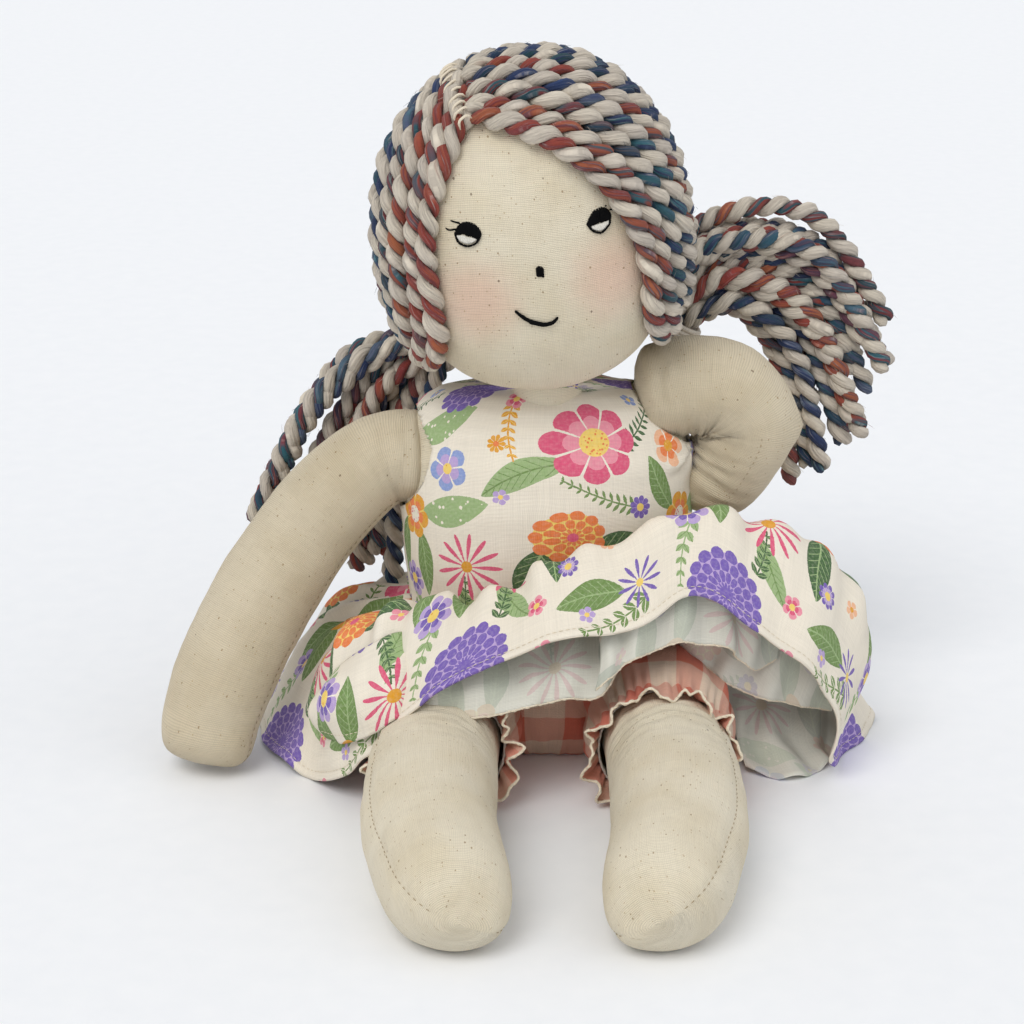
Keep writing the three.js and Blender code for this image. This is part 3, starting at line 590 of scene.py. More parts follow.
def limb(name, body, knots, across, square, tip, start_tip, wrinkles, corners=()):
    """A sewn and stuffed tube along knots (x, y, z, radius), with a seam down each side and round its end.
    square tells how square each side of its end is. wrinkles are (centre, reach, depth, fold size), and
    corners are (centre, reach, height) of seam corners that stand out."""
    line, gone = spline(knots, 1.5)
    line, radii = line[:, :3], line[:, 3]
    _, side, up = frames(line, np.asarray(across, float))
    angles = circle(limbSides)
    end = np.clip(1 - (gone[-1] - gone) / tip, 0, 1)[:, None]
    begin = np.sqrt(np.maximum(1 - np.clip(1 - gone / start_tip, 0, 1) ** 2, 0.0004))[:, None]
    thick = np.sqrt(np.maximum(1 - end ** 2, 0.0004)) * begin
    power = np.where(np.cos(angles) > 0, square[0], square[1])[None]
    spread = np.maximum(1 - end ** power, 0.0004) ** (1 / power) * begin
    # The seams pull in a little, between fuller panels
    pinch = 1 - 0.035 * swell(np.sin(angles), 0.1)
    rows = (line[:, None] + side[:, None] * (np.cos(angles) * spread * radii[:, None] * pinch)[..., None]
            + up[:, None] * (np.sin(angles) * thick * radii[:, None] * pinch)[..., None])
    normals = row_normals(rows)
    push = 0.5 * grain(rows, 17.0, 3.1) + 0.175 * grain(rows, 6.0, 9.4)
    for centre, reach, depth, size in wrinkles:
        away = np.linalg.norm(rows - np.asarray(centre, float), axis=2)
        wander = 0.5 * size * grain(rows, 9.0, centre[0])
        wave = np.sin((gone[:, None] + wander) * TURN / size)
        push -= depth * swell(away, reach) * (0.5 + 0.5 * wave) ** 1.5
    for centre, reach, height in corners:
        away = np.linalg.norm(rows - np.asarray(centre, float), axis=2)
        push += height * np.exp(-(away / reach) ** 1.5)
    rows = rows + normals * push[..., None]
    keep_above(rows, 0.15)
    # The weave runs straight over each panel and meets itself in a seam, as in cut cloth
    closed = np.concatenate([rows, rows[:, :1]], axis=1)
    turn = lengths_down(closed.transpose(1, 0, 2)).T
    turn = turn - turn[:, limbSides // 4][:, None]
    down = steps_along(rows[:, limbSides // 4])
    uv = np.stack([turn, np.broadcast_to(down[:, None], turn.shape)], axis=2)
    # The arms take a darker copy of the muslin: painted shade
    piece = skin_grid(name, rows, uv, arm_skin_painted_shade if body.startswith("arm") else skin, body)
    return piece, rows


def seam_line(rows, turn, start, stop):
    """The line on a limb that runs along it at an angle round it, between two shares of its length."""
    column = round(turn / TURN * rows.shape[1]) % rows.shape[1]
    return rows[int(start * len(rows)):max(int(stop * len(rows)), 1), column]


def threadwork(name, parts, material, body, slot, *nodes):
    """Threads as one piece, which stands for the solids in nodes, if there are any."""
    points, faces = merged(parts)
    piece = add_mesh(name, points, faces, [material], body=body)
    if nodes:
        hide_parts(*nodes)


def stitched(name, lines, material, body, slot, length, gap, radius, away):
    """Short raised stitches along lines of points that lie on the cloth. away are points inside it."""
    parts = []
    for line in lines:
        line, gone = spline(np.asarray(line, float), 0.4)
        count = int(gone[-1] // (length + gap))
        for index in range(count):
            places = index * (length + gap) + np.array([0, 0.25, 0.5, 0.75, 1]) * length
            stitch = at_places(line, gone, places)
            nearest = away[np.argmin(np.linalg.norm(away - stitch[2], axis=1))]
            outward = unit(stitch[2] - nearest)
            hump = (np.array([-0.8, 0.8, 1, 0.8, -0.8]) * radius * 1.2 + stitchLift)[:, None]
            parts.append(thread(stitch + outward * hump, radius, 5))
    threadwork(name, parts, material, body, slot)


def sewn_limb(kind, side, knots, across, seams, stitch, fill, **shape):
    """A stuffed limb with stitches along its seams, which are (angle, start, stop) rows."""
    body = kind + "_" + side
    piece, rows = limb(kind + "_skin_" + side, body, knots, across, **shape)
    lines = [seam_line(rows, *seam) for seam in seams]
    stitched(kind + "_seam_" + side, lines, seam_thread, body, "skin_cloth", *stitch, away=rows.mean(axis=1))
    stuffed(piece, body)


def build_legs():
    for name, sign in (("left", 1), ("right", -1)):
        hip = hips[name]
        knots = [(hip, -20, hipHeight, 22), (hip, -41, hipHeight, 22),
                 (hip + 1.5 * sign, -60, 21.8, 22.7), (hip + 2.6 * sign, -78, 22.4, 23.4),
                 (hip + 3.2 * sign, -104, 22.8, 23.8),
                 (hip + 2.2 * sign, -130, 22.0, 23.4), (hip - 1.4 * sign, -149, 20.8, 22.6),
                 (hip - 5.2 * sign, -166.5, 19.2, 21.4), (hip - 8.4 * sign, -182.8, 17.6, 20.4)]
        wrinkles = [((hip, -76, 40), 19, 1.2, 6.5), ((hip + 16 * sign, -92, 34), 14, 0.9, 7.5),
                    ((hip - 14 * sign, -84, 30), 13, 0.8, 6.0)]
        square = (2.2, 3.4) if sign > 0 else (3.4, 2.2)
        across = (0.83, 0, 0.56) if sign > 0 else (0.88, 0, -0.47)
        seams = [(0, 0.28, 0.995), (math.pi, 0.28, 0.995)]
        sewn_limb("leg", name, knots, across, seams, (1.5, 1.3, 0.13), 0.9, square=square, tip=25.0,
                  start_tip=20.0, wrinkles=wrinkles)


def build_arms():
    right = [(-44, 0, 115.5, 17.5), (-64, -0.5, 113, 17.8), (-84, -7, 97, 18.8), (-103.5, -18, 72, 19.6),
             (-118.4, -28, 46, 19.6), (-127.6, -34, 22, 18.6), (-130.2, -36, 3.5, 18.0)]
    wrinkles = [((-62, -12, 122), 15, 0.9, 7.0), ((-84, 8, 84), 16, 0.8, 8.0),
                ((-88, -22, 105), 16, 0.5, 9.0)]
    seams = [(0, 0.12, 0.995), (math.pi, 0.12, 0.995)]
    sewn_limb("arm", "right", right, (1, 0.15, 0.3), seams, (1.5, 1.3, 0.13), 0.9, square=(5.0, 4.0),
              tip=17.0, start_tip=6.0, wrinkles=wrinkles)
    left = [(33, 0, 139.5, 16.5), (44, 0, 141, 18.6), (56, 0, 142.6, 19.4), (67.5, 0, 140, 19.6),
            (75.5, 0, 129.5, 19.4), (71, 0.5, 115, 17.8), (64.8, 1.5, 103, 16.2), (61.5, 3, 92, 15)]
    wrinkles = [((45, -14, 148), 13, 1.1, 7.5), ((57, -12, 119), 12, 2.0, 5.5),
                ((62, -15, 106), 12, 1.4, 6.5), ((60, 12, 120), 13, 1.4, 6.0)]
    sewn_limb("arm", "left", left, (0, 0.2, 1), [(0.5 * math.pi, 0.56, 0.9)], (1.2, 1.3, 0.11), 0.85,
              square=(3.0, 3.0), tip=14.0, start_tip=7.0, wrinkles=wrinkles,
              corners=[((95.5, -2, 127), 5.5, 3.2)])


def build_torso():
    """The trunk, hidden by the dress and the bloomers except at the armholes, with the ball that carries
    the head."""
    heights = np.linspace(torsoRows[0][0], torsoRows[-1][0], 90)
    angles = circle(limbSides)
    wide, deep = torso_size(heights)
    rows = np.stack([torso_ring(angles, z, w, d) for z, w, d in zip(heights, wide, deep)])
    rows = rows + row_normals(rows) * (0.35 * grain(rows, 14.0))[..., None]
    keep_above(rows, torsoRows[0][0])
    uv = cloth_grid(np.arange(limbSides + 1) * TURN / limbSides * 45, heights)
    torso = skin_grid("torso_skin", rows, uv, skin, "torso")
    tilts = np.linspace(-1.45, 1.5, 30)
    ball = []
    for tilt in tilts:
        radius = neckRadius * math.cos(tilt)
        height = np.full(limbSides, neckRadius * math.sin(tilt))
        ball.append(np.stack([radius * np.cos(angles), radius * np.sin(angles), height], axis=1))
    uv = cloth_grid(np.arange(limbSides + 1) * TURN / limbSides * 15, tilts * 15)
    neck = skin_grid("neck_skin", np.stack(ball) + neckPivot, uv, skin, "torso")
    stuffed(torso, "torso")
    stuffed(neck, "torso")


def torso_size(heights):
    """The trunk's half width and half depth."""
    table = np.array(torsoRows)
    return [np.interp(heights, table[:, 0], table[:, column]) for column in (1, 2)]


def torso_ring(angles, z, wide, deep, lift=0.0):
    """One level ring of the trunk: a squarish oval."""
    cosine, sine = squared_circle(angles, 2 / torsoSquareness)
    return np.stack([(wide + lift) * cosine, torsoMiddleY + (deep + lift) * sine, np.full_like(cosine, z)],
                    axis=1)


def head_grid(tilts, angles, lift=0.0):
    """Points of the head's form, as rings from its lowest to its highest point."""
    hx, hy, hz = (half + lift for half in headHalf)
    rows = []
    for tilt in tilts:
        power = 2 / headPowers[int(tilt >= 0)]
        spread = max(math.cos(tilt), 1e-4) ** power
        height = math.copysign(abs(math.sin(tilt)) ** power, tilt)
        rows.append(np.stack([headCentre[0] + hx * spread * np.cos(angles),
                              headCentre[1] + hy * spread * np.sin(angles),
                              np.full_like(angles, headCentre[2] + hz * height)], axis=1))
    return np.array(rows)


def build_head():
    angles = circle(headSides)
    rows = head_grid(np.linspace(-1.53, 1.53, 100), angles)
    normals = row_normals(rows)
    rows = rows + normals * (0.45 * grain(rows, 22.0, 5.0) + 0.12 * grain(rows, 7.0, 8.0))[..., None]
    wrapped = np.concatenate([rows, rows[:, :1]], axis=1)
    # The face is one flat panel of cloth, so its weave runs straight across and up
    uv = np.stack([np.where(wrapped[..., 1] < headCentre[1], wrapped[..., 0], 260 - wrapped[..., 0]),
                   wrapped[..., 2]], axis=2)
    head = skin_grid("head_skin", on_head(rows), uv, face_skin, "head")
    stuffed(head, "head")


# Embroidery

def on_face(line, lift):
    """A thread's points, given as (across, up) on the face, put on the head's front."""
    line = np.asarray(line, float)
    return on_head(head_surface(line[:, 0], line[:, 1], lift))


def satin(edge_a, edge_b, count, radius, lift, rng, ragged):
    """Close parallel stitches between two edges, each edge a line of (across, up) points."""
    parts = []
    a = spline(np.column_stack([edge_a, np.zeros(len(edge_a))]), 0.2)[0]
    b = spline(np.column_stack([edge_b, np.zeros(len(edge_b))]), 0.2)[0]
    for share in np.linspace(0, 1, count):
        start = a[round(share * (len(a) - 1)), :2] + rng.normal(0, ragged, 2)
        stop = b[round(share * (len(b) - 1)), :2] + rng.normal(0, ragged, 2)
        t = shares(7)
        line = on_face(part_way(start, stop, t), lift)
        line[[0, -1]] -= (line[[0, -1]] - on_head(np.array(headCentre))) * 0.012
        parts.append(thread(line, radius, 6))
    return parts


def eye(side, centre, lid, lower, rim, lashes, rng):
    """One eye: a black satin lid, a white satin crescent below it, a black outline of long stitches."""
    cx, cz = centre
    place = lambda points: [(cx + x, cz + z) for x, z in points]
    top, under = lid
    black = satin(place(top), place(under), 15, 0.5, 0.25, rng, 0.0)
    black += satin(place(top), place(under), 30, 0.24, 0.55, rng, 0.07)
    rim = place(rim)
    for start, stop in zip(rim, rim[1:]):
        t = np.linspace(-0.04, 1.04, 8)[:, None]
        line = part_way(np.array(start), np.array(stop), t)
        black.append(thread(on_face(line, 0.55), 0.42, 6))
    for lash in lashes:
        line = spline(np.column_stack([place(lash), np.zeros(len(lash))]), 0.4)[0][:, :2]
        black.append(thread(on_face(line, 0.4), np.linspace(0.34, 0.26, len(line)), 6))
    threadwork("eye_" + side + "_black_thread", black, black_thread, "head", "black_thread",
               "eye_" + side + "_black")
    upper, bottom = lower
    white = satin(place(upper), place(bottom), 14, 0.36, 0.15, rng, 0.0)
    white += satin(place(upper), place(bottom), 20, 0.2, 0.36, rng, 0.04)
    threadwork("eye_" + side + "_white_thread", white, white_thread, "head", "white_thread",
               "eye_" + side + "_white")


def build_face():
    rng = np.random.default_rng(5)
    eye("right", (-22.0, 68.8),
        ([(-4.4, 0.2), (-3.6, 2.4), (-2.0, 3.9), (0.2, 4.4), (2.5, 3.5), (3.9, 2.0), (4.4, 0.3)],
         [(-4.2, -0.6), (-3.2, -0.6), (-1.6, -0.5), (-0.4, -1.2), (1.0, -1.4), (2.6, -2.2), (3.8, -1.7)]),
        ([(-3.8, -0.7), (-1.6, -0.6), (-0.4, -1.2), (1.0, -1.4), (2.6, -2.1)],
         [(-3.6, -2.0), (-3.0, -3.0), (-0.9, -3.9), (1.2, -3.4), (2.5, -2.4)]),
        [(-4.5, 0.2), (-4.4, -1.3), (-3.7, -3.2), (-2.2, -4.1), (-0.6, -4.5), (1.2, -4.1), (2.7, -3.3),
         (3.9, -1.6), (4.5, 0.1)],
        [[(-2.4, 3.4), (-4.2, 3.8), (-5.8, 4.3)], [(-4.1, 1.4), (-6.0, 1.0), (-7.0, 1.1), (-7.8, 1.7)]], rng)
    eye("left", (23.7, 68.8),
        ([(-4.1, -0.3), (-3.2, 1.6), (-1.6, 3.6), (0.2, 4.2), (1.6, 4.4), (3.5, 3.3), (4.1, 1.4)],
         [(-3.9, -0.9), (-2.8, -1.5), (-1.0, -1.2), (0.4, -1.0), (2.0, -0.8), (3.2, -0.7), (3.9, -0.3)]),
        ([(-2.7, -1.5), (-0.6, -1.1), (1.2, -0.9), (3.2, -0.7)],
         [(-2.3, -2.6), (-0.9, -3.5), (0.8, -3.8), (3.0, -2.2)]),
        [(-4.2, -0.4), (-2.8, -2.8), (-1.4, -3.8), (0.5, -4.4), (2.2, -3.3), (3.6, -1.9), (3.9, -0.4),
         (4.1, 1.4)],
        [[(3.9, 2.9), (4.9, 2.7), (5.8, 2.2)], [(2.5, 4.2), (3.0, 4.7)]], rng)
    top = [(0.7, 55.6), (1.5, 56.1), (2.3, 55.9), (2.8, 55.4)]
    bottom = [(0.7, 52.2), (1.4, 52.0), (2.1, 51.9), (2.6, 51.6)]
    nose = satin(top, bottom, 5, 0.42, 0.3, rng, 0.0) + satin(top, bottom, 8, 0.24, 0.6, rng, 0.06)
    threadwork("nose_thread", nose, black_thread, "head", "black_thread", "nose")
    mouth = []
    line = spline([(-8.2, 40.6, 0), (-6.3, 38.4, 0), (-4.2, 36.7, 0), (-1.5, 35.2, 0), (1.2, 34.4, 0),
                   (3.4, 34.5, 0), (5.0, 35.1, 0), (6.3, 36.5, 0)], 0.9)[0][:, :2]
    for index in range(len(line) - 1):
        for row, shift in enumerate((0.42, 0.0, -0.42)):
            full = math.sin(math.pi * (index + 1) / len(line)) ** 0.6
            start = line[index] + (0, shift * full) + rng.normal(0, 0.1, 2)
            stop = line[min(index + 2, len(line) - 1)] + (0, shift * full) + rng.normal(0, 0.1, 2)
            t = shares(5)
            mouth.append(thread(on_face(part_way(start, stop, t), 0.45 + 0.1 * row), 0.42, 6))
    threadwork("mouth_thread", mouth, black_thread, "head", "black_thread", "mouth")


def thread_material(name, colour, shine):
    """Spun thread: fine fibres along it, a little uneven in shade."""
    shader = Shader(name, {"Specular IOR Level": 0.1, "Sheen Weight": 0.0})
    place = shader.object_place()
    fibre = shader.noise(shader.stretch(place, 1, 1, 0.25), 5200.0, 2)
    shade = shader.step(fibre, 0.2, 0.8, 0.75, 1.15)
    tint = shader.shaded(colour, shade)
    return shader.finish(tint, shader.step(fibre, 0, 1, shine, shine + 0.2), fibre, 0.05)


# A direction that no thread runs in
threadAcross = np.array((0.31, 0.27, 0.91))
limbSides = 96
headSides = 128
neckRadius = 14.9
stitchLift = 0.05
torsoMiddleY = 1
torsoSquareness = 2.4
# Height, half width and half depth of the trunk
torsoRows = [(1.4, 34, 22), (4.8, 43, 27), (13, 49.5, 30.5), (30, 53, 32), (46, 52, 31), (58.5, 51, 29),
             (76, 53.4, 30), (100, 54.6, 30), (118, 54, 27.5), (130, 50.5, 22.5), (137, 45.5, 17.5),
             (141, 39, 12.5), (142.5, 31, 8)]
skin = muslin("muslin", skinPale, skinWarm)
seam_thread = thread_material("seam thread", srgb(168, 148, 116), 0.5)
# The same muslin made darker for the arms: painted shade, as they lie in more shade than the legs
arm_skin_painted_shade = muslin("muslin of the arms with painted shade", srgb(213, 200, 174), srgb(201, 186, 157))
face_skin = muslin("muslin of the face", skinPale, skinWarm, [(-21.5, 44, 22), (27, 48, 22)])
black_thread = thread_material("black thread", srgb(1, 1, 2), 0.55)
white_thread = thread_material("white thread", srgb(226, 222, 212), 0.5)
cream_thread = thread_material("cream thread", srgb(230, 218, 196), 0.6)
build_legs()
build_arms()
build_torso()
build_head()
build_face()

# Cloth building

def ring_spline(knots, count):
    """A smooth closed line through rows of knots, with evenly spaced samples. x, y and z give its length."""
    dense = []
    for i in range(len(knots)):
        four = (knots[(i + shift) % len(knots)] for shift in (-1, 0, 1, 2))
        dense.append(curve(*four, knotShares))
    dense = np.vstack([*dense, knots[:1]])
    gone = steps_along(dense[:, :3])
    places = np.linspace(0, gone[-1], count, endpoint=False)
    return at_places(dense, gone, places), places, gone[-1]


def sheet_normals(points, faces):
    """Each point's outward direction, from the faces round it."""
    quads = np.asarray(faces)
    a, b, c, d = (points[quads[:, k]] for k in range(4))
    direction = np.cross(c - a, d - b)
    normals = np.zeros_like(points)
    for corner in range(4):
        np.add.at(normals, quads[:, corner], direction)
    return unit(normals)


def cloth(name, points, faces, uvs, thickness, materials, body=None):
    """A sheet of quads given a thickness. materials are its outer and its inner side's."""
    normals = sheet_normals(points, faces)
    half = 0.5 * (np.full(len(points), float(thickness)) if np.isscalar(thickness) else thickness)[:, None]
    count = len(points)
    both = np.vstack([points + normals * half, points - normals * half])
    keep_above(both, 0.1)
    all_faces = [tuple(face) for face in faces]
    all_uvs = [list(uv) for uv in uvs]
    edges = {}
    for face, uv in zip(faces, uvs):
        for k in range(4):
            a, b = face[k], face[(k + 1) % 4]
            if (b, a) in edges:
                del edges[(b, a)]
            else:
                edges[(a, b)] = (uv[k], uv[(k + 1) % 4])
    all_faces += [tuple(count + corner for corner in face[::-1]) for face in faces]
    all_uvs += [list(uv)[::-1] for uv in uvs]
    for (a, b), (uv_a, uv_b) in edges.items():
        all_faces.append((b, a, count + a, count + b))
        all_uvs.append([uv_b, uv_a, uv_a, uv_b])
    slots = [0] * len(faces) + [1] * len(faces) + [0] * len(edges)
    return add_mesh(name, both, all_faces, materials, all_uvs, slots, body=body)


def sheet_grid(rows, uv, closed, outward):
    """Points, faces and each face's cloth places of a grid of points. The faces look outward."""
    count, wide, _ = rows.shape
    faces, corners = grid_faces(count, wide, closed)
    uvs = [[uv[i][j] for i, j in corner] for corner in corners]
    points = rows.reshape(-1, 3).copy()
    if np.sum(sheet_normals(points, faces) * outward.reshape(-1, 3)) < 0:
        faces = [face[::-1] for face in faces]
        uvs = [uv[::-1] for uv in uvs]
    return points, faces, uvs


def only_used(points, faces):
    """The points that faces use, the faces with their new numbers, and the new number of each old one."""
    order = sorted({corner for face in faces for corner in face})
    renumber = {old: new for new, old in enumerate(order)}
    return points[order], [tuple(renumber[corner] for corner in face) for face in faces], renumber


def cut(points, faces, uvs, inside, snapped):
    """Takes away the faces whose middle is inside a hole, and draws what is left of the edge onto it."""
    gone = set()
    kept_faces, kept_uvs = [], []
    for face, uv in zip(faces, uvs):
        if inside(points[list(face)].mean(axis=0)):
            gone.update(face)
        else:
            kept_faces.append(face)
            kept_uvs.append(uv)
    edge = sorted(gone & {corner for face in kept_faces for corner in face})
    for index in edge:
        points[index] = snapped(points[index])
    points, kept_faces, renumber = only_used(points, kept_faces)
    return points, kept_faces, kept_uvs, [renumber[index] for index in edge]


# Print, check and other cloth

def turned_place(shader, place, centre, angle):
    """The place measured from the nearest repeat of a motif's centre, turned by angle degrees."""
    moved = shader.field("VectorMath", [place, (*centre, 0)], operation="SUBTRACT")
    half = (printTile[0] / 2, printTile[1] / 2, 1)
    wrapped = shader.field("VectorMath", [moved, half, tuple(-h for h in half)], operation="WRAP")
    inputs = {"Vector": wrapped, "Angle": math.radians(angle)}
    return shader.field("VectorRotate", inputs, rotation_type="Z_AXIS")


def polar(shader, place):
    """The distance from a motif's centre and the angle round it."""
    x, y, _ = shader.parts(place)
    distance = shader.field("VectorMath", [place], "Value", operation="LENGTH")
    return distance, shader.math("ARCTAN2", y, x)


def bloom(shader, colour, place, radius, petals, tints, depth, core):
    """A round flower: petals with a darker heart and fine lines, and a dotted centre."""
    outer, inner, line, middle, dots = tints
    distance, angle = polar(shader, place)
    lobe = abs(shader.math("COSINE", angle * (petals / 2)))
    reach = radius * (1 - depth) + lobe ** 0.6 * (radius * depth)
    share = distance / reach
    colour = shader.mix(share < 1.0, colour, outer)
    colour = shader.mix(share < 0.66, colour, inner)
    gap = (lobe < 0.16) * (share < 1.0)
    colour = shader.mix(gap, colour, line)
    colour = shader.mix(distance < radius * core, colour, middle)
    spots = shader.cells(place, 0.75)["Distance"] < 0.33
    dotted = spots * (distance < radius * core * 0.9)
    return shader.mix(dotted, colour, dots)


def dahlia(shader, colour, place, radius, petals, rings, tints):
    """Rings of rounded petals, each with a pale outline, round a small button."""
    petal, line, middle = tints
    distance, angle = polar(shader, place)
    ring = distance * (rings / radius)
    shift = shader.math("FLOOR", ring) * 0.5
    turn = shader.fraction(angle * (petals / TURN) + shift + 40.0)
    side = abs(turn - 0.5) ** 2
    along = abs(shader.fraction(ring) - 0.42) ** 2
    oval = side * 4.9 + along * 2.9
    inside = distance < radius
    body = inside * (oval < 1.0)
    colour = shader.mix(distance < radius * 0.9, colour, line)
    colour = shader.mix(body, colour, petal)
    return shader.mix(distance < radius * 0.16, colour, middle)


def burst(shader, colour, place, radius, petals, tints):
    """Narrow pointed petals that stand apart, round a small eye."""
    petal, middle = tints
    distance, angle = polar(shader, place)
    share = distance * (1 / radius)
    beside = abs(shader.sine(angle * (petals / 2)))
    belly = shader.sine(shader.least(share, 1.0) * math.pi)
    narrow = beside < belly ** 0.5 * 0.62
    colour = shader.mix(narrow * (share < 1.0), colour, petal)
    return shader.mix(share < 0.17, colour, middle)


def sprig(shader, colour, place, length, spacing, leaf, width, slant, bend, tints):
    """Pairs of leaves along a bent stem, smaller towards its tip. Each leaf has a pale midrib."""
    green, rib = tints
    x, y, _ = shader.parts(place)
    y = y - x * x * bend
    on_stem = (x > 0.0) * (x < length)
    along = x % spacing
    beside = abs(y)
    size = shader.step(x, 0.0, length, 1.0, 0.5)
    turn = math.radians(slant)
    far = along * math.cos(turn) + beside * math.sin(turn)
    off = along * -math.sin(turn) + beside * math.cos(turn)
    share = shader.least(far / (size * leaf), 1.0)
    half = shader.sine(shader.most(share, 0.0) * math.pi)
    room = half * width * size
    off = abs(off)
    blade = (off < room) * on_stem
    stem = (beside < 0.32) * on_stem
    colour = shader.mix(shader.most(blade, stem), colour, green)
    vein = blade * (off < 0.1 * width)
    return shader.mix(vein, colour, rib)


def big_leaf(shader, colour, place, length, width, bend, tints, dots):
    """One broad leaf with a midrib and side veins, or with dots."""
    green, line = tints
    x, y, _ = shader.parts(place)
    y = y - x * x * bend
    share = shader.least(shader.most(x * (1 / length), 0.0), 1.0)
    half = shader.sine(share * math.pi) ** 0.75 * width
    beside = abs(y)
    blade = beside < half
    colour = shader.mix(blade, colour, green)
    if dots:
        marks = shader.cells(place, 1 / dots)["Distance"] < 0.2
    else:
        slanted = x - beside
        veins = (slanted + 60.0) % 3.0 < 0.35
        marks = shader.most(veins, beside < 0.3)
        marks = marks * (beside < half * 0.85)
    return shader.mix(blade * marks, colour, line)


def garden(shader, place, ground):
    """The printed garden: leaves first, flowers on top of them."""
    pink, rose = srgb(226, 92, 128), srgb(240, 150, 168)
    purple, lilac, blue = srgb(122, 98, 182), srgb(190, 166, 216), srgb(142, 162, 214)
    mustard, butter, orange = srgb(232, 164, 48), srgb(248, 214, 112), srgb(240, 132, 74)
    sage, moss, dark, peach = srgb(158, 184, 128), srgb(116, 146, 82), srgb(70, 104, 62), srgb(244, 188, 150)
    cream = srgb(246, 238, 222)
    colour = ground
    broad = [((82.8, 63.9), 0, 30, 6.2, 0.006, (sage, cream), 3.4),
             ((80.0, 55.8), 288, 26, 5.0, -0.008, (moss, sage), 0),
             ((28.9, 85.6), 193, 27, 5.4, 0.01, (sage, moss), 0),
             ((70.2, 59.5), 243, 25, 5.0, 0.012, (moss, sage), 0),
             ((70.8, 64.6), 136, 24, 5.0, -0.012, (moss, sage), 0),
             ((23.6, 52.8), 246, 28, 5.5, 0.01, (dark, sage), 0),
             ((75.0, 91.8), 14, 30, 6.5, 0.008, (sage, cream), 3.0),
             ((34.7, 51.6), 16, 24, 5.5, -0.01, (dark, sage), 0),
             ((45.1, 14.9), 170, 26, 6.0, 0.01, (moss, sage), 0),
             ((100.3, 35.3), 290, 24, 4.5, 0.01, (sage, moss), 0)]
    for centre, angle, length, width, bend, tints, dots in broad:
        near = turned_place(shader, place, centre, -angle)
        colour = big_leaf(shader, colour, near, length, width, bend, tints, dots)
    sprigs = [((47.8, 90.9), 31, 30, 3.0, 5.2, 0.8, 58, 0.006, (dark, dark)),
              ((53.1, 9.8), 207, 28, 5.2, 6.6, 1.7, 48, -0.006, (moss, cream)),
              ((73.0, 29.5), 245, 24, 4.6, 5.6, 1.4, 46, 0.012, (sage, moss)),
              ((50.5, 67.9), 167, 26, 2.8, 4.6, 0.7, 60, -0.008, (moss, moss)),
              ((12.0, 108.0), 265, 22, 3.2, 4.4, 1.0, 54, 0.01, (mustard, butter)),
              ((100.0, 20.0), 70, 20, 3.4, 5.0, 1.1, 50, 0.01, (dark, sage))]
    for centre, angle, length, spacing, leaf, width, slant, bend, tints in sprigs:
        near = turned_place(shader, place, centre, -angle)
        colour = sprig(shader, colour, near, length, spacing, leaf, width, slant, bend, tints)
    blooms = [((37.1, 92.7), 0, 15.5, 8, (pink, rose, cream, butter, orange), 0.22, 0.34),
              ((76.6, 61.5), 10, 9.5, 6, (mustard, orange, butter, cream, pink), 0.28, 0.36),
              ((96.1, 81.6), 25, 8.6, 5, (blue, lilac, cream, butter, mustard), 0.34, 0.24),
              ((70.3, 88.8), 5, 8.0, 5, (peach, orange, cream, mustard, butter), 0.34, 0.28),
              ((72.0, 34.6), 18, 7.4, 7, (lilac, purple, cream, butter, mustard), 0.3, 0.3),
              ((53.5, 67.4), 0, 4.4, 9, (purple, purple, lilac, butter, butter), 0.3, 0.34),
              ((10.8, 16.8), 0, 4.2, 5, (rose, pink, cream, butter, butter), 0.36, 0.3),
              ((24.8, 29.6), 0, 4.6, 9, (purple, lilac, cream, butter, butter), 0.3, 0.34),
              ((12.5, 110.7), 0, 4.6, 5, (rose, pink, cream, butter, butter), 0.36, 0.3),
              ((29.1, 8.3), 0, 3.2, 5, (lilac, lilac, cream, butter, butter), 0.4, 0.3),
              ((60.4, 109.4), 0, 3.4, 5, (blue, blue, cream, butter, butter), 0.4, 0.3),
              ((42.1, 35.9), 0, 3.2, 5, (peach, peach, cream, mustard, mustard), 0.4, 0.3),
              ((8.6, 92.2), 0, 3.4, 9, (mustard, mustard, cream, orange, orange), 0.35, 0.3),
              ((11.0, 72.3), 0, 3.0, 5, (lilac, lilac, cream, butter, butter), 0.4, 0.3),
              ((54.7, 47.8), 0, 3.2, 5, (rose, rose, cream, butter, butter), 0.4, 0.3)]
    for centre, angle, radius, petals, tints, depth, core in blooms:
        near = turned_place(shader, place, centre, angle)
        colour = bloom(shader, colour, near, radius, petals, tints, depth, core)
    for centre, radius, petals, rings, tints in (((88.5, 5.0), 16.5, 16, 4, (purple, lilac, purple)),
                                                 ((29.7, 56.9), 10.5, 11, 3, (orange, butter, pink))):
        near = turned_place(shader, place, centre, 0)
        colour = dahlia(shader, colour, near, radius, petals, rings, tints)
    near = turned_place(shader, place, (104.1, 44.0), 0)
    colour = burst(shader, colour, near, 13.5, 13, (pink, mustard))
    near = turned_place(shader, place, (51.3, 15.9), 7)
    return burst(shader, colour, near, 9.0, 11, (purple, butter))


